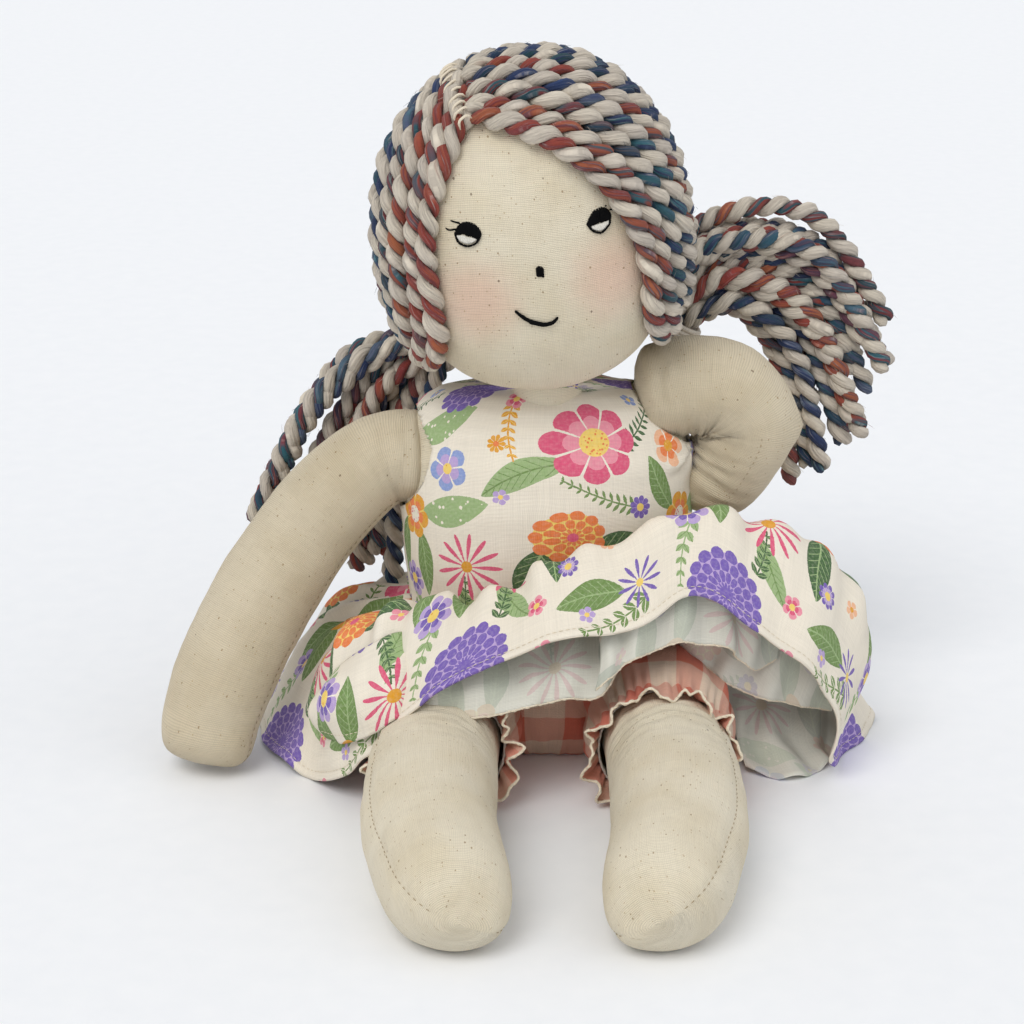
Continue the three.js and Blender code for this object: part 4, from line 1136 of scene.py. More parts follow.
def printed(name, reverse=False):
    """Cotton with the garden print, or its pale reverse, through which the print shows faintly."""
    shader = Shader(name, {"Sheen Weight": 0.08, "Sheen Roughness": 0.5, "Specular IOR Level": 0.25})
    place = shader.place()
    height = weave_height(shader, place, 0.5, 0.5)
    uneven = slubs(shader, place)
    bleed = shader.noise(place, 1.3, 2)
    inked = bleed * 0.5 + -0.25
    inked = shader.field("VectorMath", [place, shader.joined(inked, inked)], operation="ADD")
    ground = srgb(243, 234, 217)
    colour = garden(shader, inked, ground)
    if reverse:
        colour = shader.mix(0.78, colour, srgb(226, 227, 217))
    else:
        worn = shader.step(shader.noise(place, 0.9, 3), 0.35, 0.8, 0.0, 0.16)
        colour = shader.mix(worn, colour, ground)
    shade = 0.9 + height * 0.11 + uneven * 0.3
    colour = shader.shaded(colour, shade)
    return shader.finish(colour, shader.step(height, 0, 1, 0.9, 0.75), height + uneven * 1.5, 0.12)


def gingham(name, reverse=False):
    """Cotton woven in a coral and cream check, with the diagonal of a twill."""
    shader = Shader(name, {"Sheen Weight": 0.1, "Sheen Roughness": 0.5, "Specular IOR Level": 0.25})
    place = shader.place()
    across, along, _ = shader.parts(place)
    stripes = []
    for axis in (across, along):
        wave = shader.sine(axis * (TURN / (2 * checkSize)))
        stripes.append(shader.step(wave, -0.06, 0.06))
    diagonal = shader.sine((across + along) * (TURN / 1.1))
    twill = shader.step(diagonal, -0.6, 0.6, -0.09, 0.09)
    deep = stripes[0] * 0.5 + stripes[1] * 0.5
    middle = (1.0 - deep) * (deep * 4.0)
    deep = deep + twill * middle
    colour = shader.mix(deep, srgb(240, 216, 193), srgb(222, 122, 99))
    if reverse:
        colour = shader.mix(0.3, colour, srgb(236, 196, 176))
    height = weave_height(shader, place, 0.55, 0.4)
    uneven = slubs(shader, place)
    shade = 0.88 + height * 0.12 + uneven * 0.5
    colour = shader.shaded(colour, shade)
    height = height + uneven * 1.5 + diagonal * 0.25
    return shader.finish(colour, shader.step(height, 0, 1, 0.92, 0.8), height, 0.14)


# Dress

def skirt_profiles():
    """The skirt as a grid of points, from the waist down to the hem, and each column's lengths."""
    knots = []
    for _, *rest in skirtStations:
        knots.append([*((np.array(rest[:3]) + rest[3:]) / 2), *rest, 0.0])
    knots = np.array(knots, float)
    columns, places, around = ring_spline(knots, skirtColumns)
    degrees = np.array([station[0] for station in skirtStations] + [360.0])
    starts = []
    for knot in knots:
        starts.append(places[np.argmin(np.linalg.norm(columns[:, :3] - knot[:3], axis=1))])
    starts = np.array(starts + [around])
    starts[0] = 0
    turn = np.radians(np.interp(places, starts, degrees))
    waist = torso_ring(turn, waistZ - 1.6, 51, 29, 1.3)
    fold, hem = columns[:, 3:6], columns[:, 6:9]
    outward = unit(waist * (1, 1, 0))
    rise = np.sign(fold[:, 2:] - waist[:, 2:]) * 0.4
    spring = waist + outward * 9 + rise * np.array([0, 0, 9.0])
    grid = []
    for line in zip(waist, spring, fold, hem):
        grid.append(resampled(line, skirtRows))
    return np.array(grid).transpose(1, 0, 2), places, around


def build_skirt():
    rows, places, around = skirt_profiles()
    share = shares(skirtRows)
    normals = -row_normals(rows)
    outward = unit(rows.mean(axis=0) - np.array([0, 0, 20.0]))
    flip = np.sign(np.sum(normals * outward[None], axis=2).mean())
    normals *= flip
    turn = places / around * TURN
    wander = 0.5 * grain(np.stack([np.cos(turn), np.sin(turn), 0 * turn], axis=1) * 40, 9.0, 2.0)
    crowded = 1 + 0.9 * swell(turn - 3.9, 0.5)
    fine = np.sin(turn * 58 + wander * 5) * 1.3 * (1 - smooth_step(0.08, 0.5, share))
    fine = fine * smooth_step(0, 0.03, share) * crowded
    pleat = np.sin(turn * 27 + wander * 4) * 1.6 * smooth_step(0.03, 0.2, share)
    pleat = pleat * (1 - smooth_step(0.45, 0.9, share)) * crowded
    wave = np.sin(turn * 12 + wander * 5) * 1.7 * smooth_step(0.4, 0.95, share)
    broad = grain(np.concatenate([rows[..., :2], rows[..., 2:] * 0.35], axis=2), 17.0, 6.0)
    soft = 2.2 * broad * smooth_step(0.1, 0.6, share) + pleat + wave
    small = 0.35 * grain(rows, 6.0, 1.0) * smooth_step(0.05, 0.2, share)
    down = lengths_down(rows)
    left = down[-1] - down
    groove = -0.35 * swell(left - hemDepth, 0.7) + 0.25 * swell(left - 1.5, 1.2)
    rows = rows + normals * (fine + soft + small + groove)[..., None]
    keep_above(rows, 0.5)
    width = np.append(places, around) * skirtFullness
    left = np.concatenate([left, left[:, :1]], axis=1)
    uv = np.stack([np.broadcast_to(width, left.shape), left], axis=2)
    points, faces, uvs = sheet_grid(rows, uv, True, normals)
    thickness = printThickness + hemExtra * (left[:, :-1].ravel() < hemDepth + 0.4)
    skirt = cloth("dress_skirt_cloth", points, faces, uvs, thickness, [print_front, print_back], "torso")
    stands_for(skirt, "dress_cloth", "dress_skirt")
    line = []
    for column in range(skirtColumns):
        gone = down[:, column]
        line.append([np.interp(gone[-1] - hemDepth, gone, rows[:, column, k]) for k in range(3)])
    outside = normals[-4] * 0.5
    line = np.array(line) + outside
    stitched("dress_hem_stitches", [np.vstack([line, line[:1]])], cream_thread, "torso", "dress_cloth",
             1.7, 0.7, 0.13, away=line - 8 * outside)


def overlock(name, lines, body, slot, size=0.55):
    """The serged edge of a cloth: a thread wound round it over a soft core."""
    parts = []
    for line in lines:
        edge, _ = spline(line, 0.9)
        _, side, up = frames(edge, np.array([0.1, 0.95, 0.3]))
        loops = np.arange(len(edge)) * 1.15
        coil = edge + size * (side * np.cos(loops)[:, None] + up * np.sin(loops)[:, None])
        keep_above(coil, 0.4)
        parts.append(thread(spline(coil, 0.35)[0], 0.2, 5))
        keep_above(edge, 0.6)
        parts.append(thread(edge, size * 0.9, 8))
    threadwork(name, parts, cream_thread, body, slot)


def build_fold(name, lines, belly, offset, folds, sides):
    """A part of the skirt that is folded back under it, through lines of knots from top to free edge."""
    table = np.array([resampled(line, foldColumns) for line in lines])
    rows = np.array([resampled(table[:, column], foldRows, 0.4) for column in range(foldColumns)])
    rows = rows.transpose(1, 0, 2)
    share = shares(foldRows)
    normals = row_normals(rows, closed=False)
    normals *= np.sign(-normals[..., 1].mean())
    down = lengths_down(rows)
    width = steps_along(rows[-1])
    ripples = folds * np.sin(width[None] * TURN / 17.0 + 2.6 * grain(rows, 22.0, offset))
    ripples = ripples * smooth_step(0, 0.4, share)
    soft = 1.4 * grain(rows, 12.0, 4.0) * smooth_step(0, 0.5, share)
    push = belly * np.sin(np.pi * share) + soft + ripples
    rows = rows + normals * push[..., None]
    keep_above(rows, 0.7)
    uv = np.stack([np.broadcast_to(width, down.shape) + offset, down + 20], axis=2)
    points, faces, uvs = sheet_grid(rows, uv, False, normals)
    piece = cloth(name, points, faces, uvs, printThickness, sides, "torso")
    stands_for(piece, "dress_cloth", "dress_skirt")
    return rows


def build_under_folds():
    reverse, face = [print_back, print_front], [print_front, print_back]
    far = [(-60, -55, 52), (-50, -52, 58), (-38, -50, 61), (-24, -47, 62), (-10, -44, 65), (6, -43, 67),
           (20, -42, 68), (34, -44, 70)]
    over = [(-61, -67, 46), (-50, -69, 50.5), (-38, -70, 51.5), (-24, -69, 50.5), (-10, -66, 52),
            (6, -64, 54), (20, -60, 55.5), (32, -54, 62)]
    near = [(-61, -74.5, 38.5), (-52.5, -76, 40.8), (-39, -76, 40.3), (-24, -76, 40.6), (-10, -73, 42.5),
            (6, -70, 45), (19, -68, 45.5), (27, -60, 55)]
    under = build_fold("dress_skirt_under_fold", [far, over, near], 0.5, 40.0, 0.9, reverse)
    top = [(18, -50, 74), (30, -46, 82), (42, -42, 88), (54, -39, 93), (66, -36, 91), (78, -34, 82),
           (90, -33, 70)]
    middle = [(19, -66, 61), (29, -61, 67), (40, -57, 71), (51, -53, 74), (62, -50, 71), (73, -46, 63),
              (86, -40, 55)]
    low = [(17, -72.5, 49.5), (23, -70.5, 54), (28, -67.5, 58), (37, -63.5, 60.5), (47.7, -59.5, 63),
           (56, -57, 61), (64, -54, 59), (70.5, -50, 53), (75, -47, 47.5), (80, -44, 45), (86, -41, 49)]
    inner = build_fold("dress_skirt_inner_fold", [top, middle, low], 2.6, 150.0, 1.5, reverse)
    top = [(48, -30, 90), (60, -30, 92), (74, -31, 86), (88, -31, 80), (101, -32, 63), (110, -34, 46)]
    middle = [(50, -34, 68), (61, -35, 65), (74, -36, 60), (88, -36, 54), (101, -36.5, 44), (110, -37, 35)]
    low = [(50, -37, 50.5), (60, -39, 44), (67, -40, 38.5), (75, -40, 34), (84, -41, 31.5), (96, -40, 28.5),
           (108.5, -39, 25.5)]
    lining = build_fold("dress_skirt_lining_fold", [top, middle, low], 2.6, 235.0, 1.4, reverse)
    top = [(66, -6, 40), (84, -4, 38), (102, -6, 34), (115, -10, 24)]
    middle = [(72, -24, 12), (88, -24, 9), (102, -22, 7), (114, -18, 4)]
    low = [(76.5, -39, 2), (83, -44, 1.6), (92.5, -47, 1.4), (105, -39, 1.4), (114.5, -22, 1.4)]
    build_fold("dress_skirt_floor_fold", [top, middle, low], 0.8, 300.0, 1.6, reverse)
    top = [(-83.5, -47, 35.5), (-79.5, -50, 46.5), (-73, -54.5, 54.5), (-65.2, -58.6, 61.5), (-56, -58, 66),
           (-47, -52, 64)]
    middle = [(-87.5, -52.5, 31.5), (-84, -59, 37), (-77.5, -65.5, 42), (-68.5, -70, 46.5), (-57, -72.5, 51),
              (-47, -64, 50)]
    low = [(-85.8, -46.5, 25.7), (-82, -55, 22.4), (-74.5, -66.8, 26), (-65.5, -75, 32.5), (-55, -78.5, 41),
           (-46, -68, 43)]
    build_fold("dress_skirt_side_fold", [top, middle, low], 2.4, 370.0, 0.6, face)
    overlock("dress_fold_overlock", [under[-1], under[:, 0], inner[-1], lining[-1]], "torso", "cream_thread",
             0.42)
    stitched("dress_side_fold_stitches", [np.array([(-84, -58, 26.5), (-76, -69, 30), (-66, -76.5, 36)])],
             cream_thread, "torso", "dress_cloth", 1.7, 0.7, 0.13, away=np.array(low) * (0.9, 0.8, 1.0))


def bodice_rows(angles, lift):
    """The bodice from the waist up to the neck: a grid of points round the trunk."""
    heights = [waistZ - 0.6, 66, 76, 88, 100, 109, 118, 124, 130, 134, 137, 139.3, 141]
    wide, deep = torso_size(heights)
    lines = []
    for angle, extra in zip(angles, lift):
        one = np.array([angle])
        knots = [torso_ring(one, z, w, d, extra)[0] for z, w, d in zip(heights, wide, deep)]
        knots.append(torso_ring(one, 142.5 + 0.8 * extra, 31, 9.5, 0)[0])
        front = max(-math.sin(angle), 0.0)
        rise = collarSide + (collarFront - collarSide) * front + collarLean * math.cos(angle)
        knots.append(np.array([collarRadius * math.cos(angle), neckPivot[1] + collarRadius * math.sin(angle),
                               rise]))
        lines.append(resampled(knots, bodiceRows))
    return np.array(lines).transpose(1, 0, 2)


def bodice_panel(name, start, stop, lift, holes, folds=()):
    """One panel of the bodice between two angles. holes are the armholes that cut into it."""
    count = round(abs(stop - start) / TURN * bodiceColumns)
    angles = np.linspace(start, stop, count)
    lifts = np.array([lift(math.degrees(angle)) for angle in angles])
    rows = bodice_rows(angles, lifts)
    up = lengths_down(rows)
    uv = np.stack([np.broadcast_to(angles * 50.0, up.shape), up + 22], axis=2)
    normals = row_normals(rows, closed=False)
    normals *= np.sign(np.sum(normals * (rows - [0, 1, 90])))
    share = shares(bodiceRows)
    creases = np.sin(angles * 30 + 2.2 * grain(rows, 30.0, 7.0))
    push = 0.45 * creases * swell(up, 9) + 0.75 * np.abs(grain(rows, 24.0, 3.0))
    push = push + 0.25 * grain(rows, 8.0, 5.0)
    push *= 1 - 0.8 * smooth_step(0.82, 1.0, share)
    for centre, reach, height, size in folds:
        offset = rows - np.asarray(centre, float)
        away = np.linalg.norm(offset, axis=2)
        spin = np.arctan2(offset[..., 2], offset[..., 0])
        push += height * swell(away, reach) * (0.55 + 0.45 * np.sin(spin * size + away * 0.3))
    rows = rows + normals * push[..., None]
    points, faces, uvs = sheet_grid(rows, uv, False, normals)
    edges = []
    for inside, snapped in holes:
        points, faces, uvs, edge = cut(points, faces, uvs, inside, snapped)
        edges.append(points[edge])
    thickness = np.full(len(points), bodiceThickness)
    for edge in edges:
        if len(edge):
            near = np.min(np.linalg.norm(points[:, None] - edge[None, ::2], axis=2), axis=1)
            thickness += 0.5 * (near < 2.6)
    sides = [print_front, print_back]
    piece = cloth("bodice_" + name + "_cloth", points, faces, uvs, thickness, sides, "torso")
    stands_for(piece, "dress_cloth", "dress_bodice_" + name)


def right_armhole():
    middle = np.array([0, 115.0])
    inside = lambda p: p[0] < -20 and math.hypot(p[1] - middle[0], p[2] - middle[1]) < armholeRight

    def snapped(p):
        away = unit(p[1:] - middle)
        return np.array([p[0], *(middle + away * armholeRight)])
    return inside, snapped


def left_armhole():
    middle = np.array([49.0, 0, 138.5])
    inside = lambda p: p[0] > 20 and np.linalg.norm(p - middle) < armholeLeft
    snapped = lambda p: middle + unit(p - middle) * armholeLeft
    return inside, snapped


def build_bodice():
    plain = lambda degrees: 1.1
    flap = lambda degrees: 1.1 + (flapLift - 1.1) * float(smooth_step(81, 85.5, degrees))
    right, left = right_armhole(), left_armhole()
    bunching = [((52, -16, 120), 9, 2.6, 5)]
    bodice_panel("front", math.pi, TURN, plain, [right, left], bunching)
    bodice_panel("back_right", math.radians(86.1), math.pi, plain, [right])
    bodice_panel("back_left", 0.0, math.radians(96.7), flap, [left])


# Bloomers

def build_bloomers():
    for name, hip in hips.items():
        profile = [(-9, 20.5), (-3, 22.0), (3, 23.4), (9, 26.2), (15, 27.8), (21, 28.2), (27, 27.2),
                   (32, 25.6), (35.5, 24.7), (38, 24.2), (40.5, 24.5), (43.5, 25.2), (46.5, 26.2),
                   (49.5, 27.0)]
        line, gone = spline([(at, radius, 0) for at, radius in profile], 0.8)
        angles = circle(bloomersColumns)
        at, radius = line[:, 0][:, None], line[:, 1][:, None]
        spin = angles[None]
        loop = np.stack([np.cos(angles), np.sin(angles), 0 * angles], axis=1) * 30
        wander = grain(loop, 14.0, hip)[None]
        ruffle = smooth_step(38.5, 51, at)
        gather = swell(at - 38, 8.5)
        loop = np.stack([np.sin(angles), np.cos(angles), 0 * angles + 2], axis=1) * 30
        second = grain(loop, 9.0, hip)[None]
        radius = radius + 2.3 * ruffle * np.sin(spin * 12 + 3.4 * wander)
        radius = radius + 1.5 * ruffle * np.sin(spin * 19 + 4.6 * second)
        radius = radius + 0.9 * gather * np.sin(spin * 34 + 5 * wander) * (1 - 0.6 * ruffle)
        radius = radius + 1.3 * swell(at - 17, 10) * np.sin(spin * 9 + 3 * wander + at * 0.12)
        lift = 2.6 * swell(at - 18, 12)
        sway = 1.5 * ruffle * np.cos(spin * 12 + 3.4 * wander) + 1.0 * ruffle * second
        rows = np.stack([hip + radius * np.cos(spin), -22 - (at + sway) + 0 * spin,
                         hipHeight + (radius + lift) * np.sin(spin)], axis=2)
        keep_above(rows, 0.6)
        if name == "right":
            # The skirt's fold lies on this ruffle
            rows[..., 2] -= 0.72 * np.maximum(rows[..., 2] - 44.0, 0) * ruffle
        turn = np.arange(bloomersColumns + 1) / bloomersColumns * TURN * 31
        uv = cloth_grid(turn + hip, gone)
        outward = (rows - np.array([hip, 0, hipHeight])) * (1, 0, 1)
        points, faces, uvs = sheet_grid(rows, uv, True, outward)
        piece = cloth("bloomers_cloth_leg_" + name, points, faces, uvs, cuffThickness,
                      [check_front, check_back])
        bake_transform(piece)
        stands_for(piece, "bloomers_cloth", "bloomers_leg_" + name)
        rim = rows[-1]
        overlock("bloomers_overlock_" + name, [np.vstack([rim, rim[:1]])], "leg_" + name, "cream_thread")


def build_bloomers_seat():
    angles = circle(seatColumns)
    knots = [(0.6, 3, 2, 0), (0.6, 20, 12, 0), (0.7, 36, 24, 0)]
    casing = [(46.5, 1.3), (47.5, 2.2), (49.5, 2.6), (51.5, 2.2), (52.8, 1.4)]
    for z, extra in [(z, 1.1) for z in (4, 9, 15, 22, 30, 38, 44)] + casing:
        knots.append((z, *torso_size(z), extra))
    rows = np.array([torso_ring(angles, *knot) for knot in spline(knots, 1.2)[0]])
    centre = np.array([0, 1, 25.0])
    share = smooth_step(40, 50, rows[..., 2])
    gather = np.sin(angles[None] * 62 + 2 * grain(rows, 20.0, 3.0)) * (0.25 + 0.5 * share)
    outward = unit((rows - centre) * (1, 1, 0.3))
    crumple = 0.6 * np.abs(grain(rows, 12.0, 6.0))
    crumple = crumple + 2.6 * (1 - share) * np.abs(grain(rows * (1, 1, 0.5), 8.0, 9.0))
    rows = rows + outward * (np.maximum(gather, -0.5) + crumple)[..., None]
    keep_above(rows, 0.45)
    turn = np.arange(seatColumns + 1) / seatColumns * TURN * 60
    uv = cloth_grid(turn, steps_along(rows[:, 0]))
    points, faces, uvs = sheet_grid(rows, uv, True, rows - centre)
    for hip in hips.values():
        middle = np.array([hip, hipHeight])
        inside = lambda p: p[1] < -12 and math.hypot(p[0] - middle[0], p[2] - middle[1]) < seatHole

        def snapped(p):
            x, z = middle + unit(np.array([p[0], p[2]]) - middle) * seatHole
            return np.array([x, p[1], z])
        points, faces, uvs, _ = cut(points, faces, uvs, inside, snapped)
    keep_above(points, 0.45)
    piece = cloth("bloomers_cloth_seat", points, faces, uvs, seatThickness, [check_front, check_back],
                  "torso")
    stands_for(piece, "bloomers_cloth", "bloomers_seat")


def elastic_band(name, ring, body, node):
    """A woven elastic: a band with fine ribs along it. ring gives its points at a place across it."""
    across = np.linspace(-elasticWidth / 2 + 0.2, elasticWidth / 2 - 0.2, 19)
    rows = np.array([ring(at, 0.1 * math.sin(at * TURN / 0.9)) for at in across])
    keep_above(rows, 1.0)
    around = np.arange(rows.shape[1] + 1) * 0.6
    uv = cloth_grid(around, across)
    points, faces, uvs = sheet_grid(rows, uv, True, rows - rows.mean(axis=(0, 1)))
    piece = cloth(name, points, faces, uvs, elasticThickness, [woven_elastic, woven_elastic], body)
    stands_for(piece, "elastic", node)


def build_elastics():
    angles = circle(elasticColumns)
    ruched = 0.12 * np.sin(angles * 40)
    for name, hip in hips.items():
        def ring(at, rib):
            radius = cuffElasticRadius + rib + ruched
            return np.stack([hip + radius * np.cos(angles), np.full(elasticColumns, cuffElasticY + at),
                             hipHeight + radius * np.sin(angles)], axis=1)
        elastic_band("cuff_elastic_band_" + name, ring, "leg_" + name, "cuff_elastic_" + name)

    def waist(at, rib):
        z = waistElasticZ + at
        return torso_ring(angles, z, *torso_size(z), 0.75 + rib + ruched.mean())
    elastic_band("bloomers_waist_elastic_band", waist, "torso", "bloomers_waist_elastic")


def build_snaps():
    """Press studs that close the dress's back: each a domed cap in a rolled rim."""
    profile = [(0.2, 0.1), (0.7, 0.12), (1.0, 0.3), (1.25, 0.52), (1.6, 0.6), (2.0, 0.52), (2.3, 0.3),
               (2.5, 0.1), (2.75, 0.06), (3.0, 0.16), (3.15, 0.3), (3.25, 0.1), (3.2, -0.2),
               (3.0, -0.42), (0.2, -0.45)]
    angles = circle(snapSides)
    for level in ("low", "middle", "high"):
        node = "dress_snap_" + level
        middle = box_middle(node)
        rings = [np.stack([r * np.cos(angles), np.full(snapSides, h), r * np.sin(angles)], axis=1)
                 for r, h in profile]
        rows = middle + np.array(rings)
        uv = cloth_grid(np.arange(snapSides + 1) * 0.3, np.arange(len(profile)) * 0.4)
        piece = skin_grid(node + "_stud", rows, uv, snap_metal, "torso")
        stands_for(piece, "snap_metal", node)


def metal_material():
    shader = Shader("press stud metal", {"Metallic": 1.0, "Specular IOR Level": 0.5})
    place = shader.object_place()
    scratches = shader.noise(shader.stretch(place, 1, 1, 6), 900.0, 3)
    tarnish = shader.noise(place, 400.0, 2)
    colour = shader.mix(tarnish, srgb(196, 194, 190), srgb(224, 223, 220))
    return shader.finish(colour, shader.step(scratches, 0.3, 0.7, 0.26, 0.42), scratches, 0.02)


def woven_elastic_material():
    shader = Shader("woven elastic", {"Sheen Weight": 0.1, "Specular IOR Level": 0.25})
    place = shader.place()
    height = weave_height(shader, place, 0.45, 0.6)
    shade = 0.82 + height * 0.2
    colour = shader.shaded(srgb(238, 232, 222), shade)
    return shader.finish(colour, shader.step(height, 0, 1, 0.9, 0.7), height, 0.15)


printThickness = 0.55
hemExtra = 0.45
bodiceThickness = 0.6
seatThickness = 0.6
cuffThickness = 0.7
elasticThickness = 0.7
waistZ = 58.5
waistElasticZ = 49.5
cuffElasticY = -60.0
cuffElasticRadius = 23.2
elasticColumns = 240
snapSides = 48
# The radius of the openings in the seat, and its columns
seatHole = 21.5
seatColumns = 220
elasticWidth = 4.6
# Waist angle, then the fold and the hem of the skirt there
skirtStations = [
    (0, 92, -2, 66, 131, 2, 1), (38, 78, 25, 54, 112, 36, 1), (75, 36, 40, 52, 45, 52, 1),
    (110, -26, 40, 50, -34, 52, 1), (148, -72, 30, 48, -95, 44, 1), (172, -88, 14, 45, -114, 22, 1),
    (190, -87, -8, 42, -110, -14, 1), (204, -83, -24, 43, -101, -38, 5), (214, -80, -32, 46, -90, -47, 1),
    (226, -74, -44, 60, -73, -65, 12), (238, -52, -52, 73, -58.5, -78, 34),
    (252, -24, -50, 78, -27, -78, 58.5), (268, -2, -48, 88, 0, -76, 69),
    (285, 26, -45, 98, 32, -69, 73), (302, 54, -38, 106, 52, -60, 81), (316, 76, -32, 102, 72, -64, 72),
    (328, 100, -28, 90, 94, -62, 54), (338, 116, -26, 72, 109, -55, 32), (346, 120, -24, 52, 106, -47, 8),
    (353, 112, -14, 46, 116, -26, 1),
]
skirtColumns = 560
skirtRows = 72
skirtFullness = 1.05
foldRows = 30
foldColumns = 110
hemDepth = 3.4
bodiceRows = 84
bodiceColumns = 260
collarRadius = 16.6
collarFront = 147.9
collarSide = 145.6
collarLean = 0.8
flapLift = 4.4
armholeRight = 19.2
armholeLeft = 18.2
bloomersColumns = 320
checkSize = 12
printTile = (106, 114)
print_front = printed("printed cotton")
print_back = printed("printed cotton reverse", reverse=True)
check_front = gingham("checked cotton")
check_back = gingham("checked cotton reverse", reverse=True)
woven_elastic = woven_elastic_material()
snap_metal = metal_material()
build_bloomers_seat()
build_bloomers()
build_elastics()
build_snaps()
build_skirt()
build_under_folds()
build_bodice()

# Yarn hair

def yarn_material():
    """Two plies spun together: one stays cream, the other runs through many colours. Both are heathered."""
    shader = Shader("two-ply yarn",
                    {"Sheen Weight": 0.12, "Sheen Roughness": 0.8, "Specular IOR Level": 0.02})
    around, along, _ = shader.parts(shader.place())
    seed, ply, _ = shader.parts(shader.place("strand", 1.0))
    lengths = along * (1 / colourRun)
    patch = shader.noise(shader.joined(along * 0.05, seed * 90.0), 1.0, 1)
    walk = lengths + seed + patch * 0.16
    slant = around + along * 0.22
    fibre_place = shader.joined(slant, along * 0.11, seed * 50.0)
    fibre = shader.noise(fibre_place, 1.5, 4, 0.65)
    broad = shader.noise(fibre_place, 0.75, 2)
    tones = shader.ramp(shader.fraction(walk), yarnColours)
    near = shader.ramp(shader.fraction(walk + broad * 0.2), yarnColours)
    dyed = shader.mix(shader.step(broad, 0.42, 0.6), tones, near)
    dyed = shader.mix(shader.step(fibre, 0.54, 0.74, 0.0, 0.55), dyed, srgb(206, 196, 188))
    pale = shader.mix(shader.step(patch, 0.4, 0.75), srgb(222, 211, 193), srgb(208, 197, 184))
    pale = shader.mix(shader.step(fibre, 0.3, 0.6, 0.4, 0.0), pale, srgb(190, 177, 164))
    stray = shader.noise(fibre_place, 0.42, 3, 0.6)
    pale = shader.mix(shader.step(stray, 0.62, 0.76, 0.0, 0.35), pale, dyed)
    dyed = shader.mix(1.0, dyed, (0.84, 0.84, 0.86, 1), "MULTIPLY")
    colour = shader.mix(ply > 0.75, pale, dyed)
    # Painted shade: each ply is darker where it lies deep towards the strand's middle, in the valley between
    # the plies
    painted_shade_factor = shader.step(shader.fraction(ply), 0, paintedShadeStep, 0.3, 0.97)
    shade = painted_shade_factor * shader.step(fibre, 0.25, 0.75, 0.74, 1.06)
    colour = shader.shaded(colour, shade)
    return shader.finish(colour, 1.0, fibre + broad * 0.6, 1.1)


def yarn_plies(line, scale, rng, tone):
    """One strand of two-ply yarn along a line, as points, faces and each point's cloth and strand places."""
    sides = 9
    count = len(line)
    gone = steps_along(line)
    scale = np.broadcast_to(scale, (count,)).copy()
    scale *= np.clip(np.minimum(gone + 0.5, gone[-1] - gone + 0.5) / 1.8, 0.3, 1) ** 0.5
    _, side, up = frames(line, yarnAcross)
    seed = tone % 1
    pitch = yarnPitch * rng.uniform(0.92, 1.1)
    wobble = np.interp(gone, np.linspace(0, gone[-1], 12), rng.normal(0, 0.5, 12))
    twist = rng.random() * TURN - gone * TURN / pitch + wobble
    angles = circle(sides)
    around = np.abs((angles + math.pi) % TURN - math.pi) * plyRadius
    points, faces, cloth_places, strand_places = [], [], [], []
    start = 0
    for ply in (0, 1):
        turn = (twist + ply * math.pi)[:, None]
        centre = line + yarnHelix * scale[:, None] * (np.cos(turn) * side + np.sin(turn) * up)
        knots = max(4, int(gone[-1] / 9))
        uneven = np.interp(gone, np.linspace(0, gone[-1], knots), rng.normal(1, 0.09, knots))
        _, ring_side, ring_up = frames(centre, yarnAcross)
        size = plyRadius * (1.12, 0.84)[ply]
        woolly = rng.normal(1, 0.045, (count, sides))
        woolly = (woolly + np.roll(woolly, 1, axis=0)) / 2
        radius = ((size * scale * uneven)[:, None] * woolly)[..., None]
        rows = centre[:, None] + radius * spokes(ring_side, ring_up, angles)
        ring_faces, _ = grid_faces(count, sides, True, start)
        faces += ring_faces
        faces.append(tuple(range(start, start + sides))[::-1])
        faces.append(tuple(range(start + (count - 1) * sides, start + count * sides)))
        points.append(rows.reshape(-1, 3))
        cloth_places.append(cloth_grid(around, gone).reshape(-1, 2))
        # Painted shade: how far out from the strand's middle each point lies, kept after the ply in the
        # strand places, so that the material darkens the valley between the plies
        out = np.linalg.norm(rows - line[:, None], axis=2) / (scale[:, None] * (yarnHelix + size))
        painted_shade_factor = np.clip((out.ravel() - 0.25) / 0.65, 0, 1)
        strand_places.append(np.stack([np.full(count * sides, seed), ply + paintedShadeStep * painted_shade_factor], axis=1))
        start += count * sides
        for _ in range(int(gone[-1] * yarnFuzz / 2)):
            at = rng.integers(2, count - 2)
            facing = rng.random() * TURN
            outward = ring_side[at] * math.cos(facing) + ring_up[at] * math.sin(facing)
            drift = unit(rng.normal(0, 1, 3) * 0.5 + (line[at + 1] - line[at - 1]) * rng.choice([-1, 1]))
            reach = rng.uniform(0.9, 3.2)
            t = shares(4)
            hair = (centre[at] + outward * plyRadius * scale[at] * 0.9 + outward * reach * 0.42 * t ** 0.7
                    + drift * reach * t)
            fibre, fibre_faces = thread(hair, np.linspace(0.08, 0.03, 4), 3)
            points.append(fibre)
            faces += [tuple(start + corner for corner in face) for face in fibre_faces]
            cloth_places.append(np.tile([1.0, gone[at]], (len(fibre), 1)))
            # Loose fibres stand out in the open, so they get no painted shade
            strand_places.append(np.tile([seed, ply + paintedShadeStep], (len(fibre), 1)))
            start += len(fibre)
    return np.vstack(points), faces, np.vstack(cloth_places), np.vstack(strand_places)


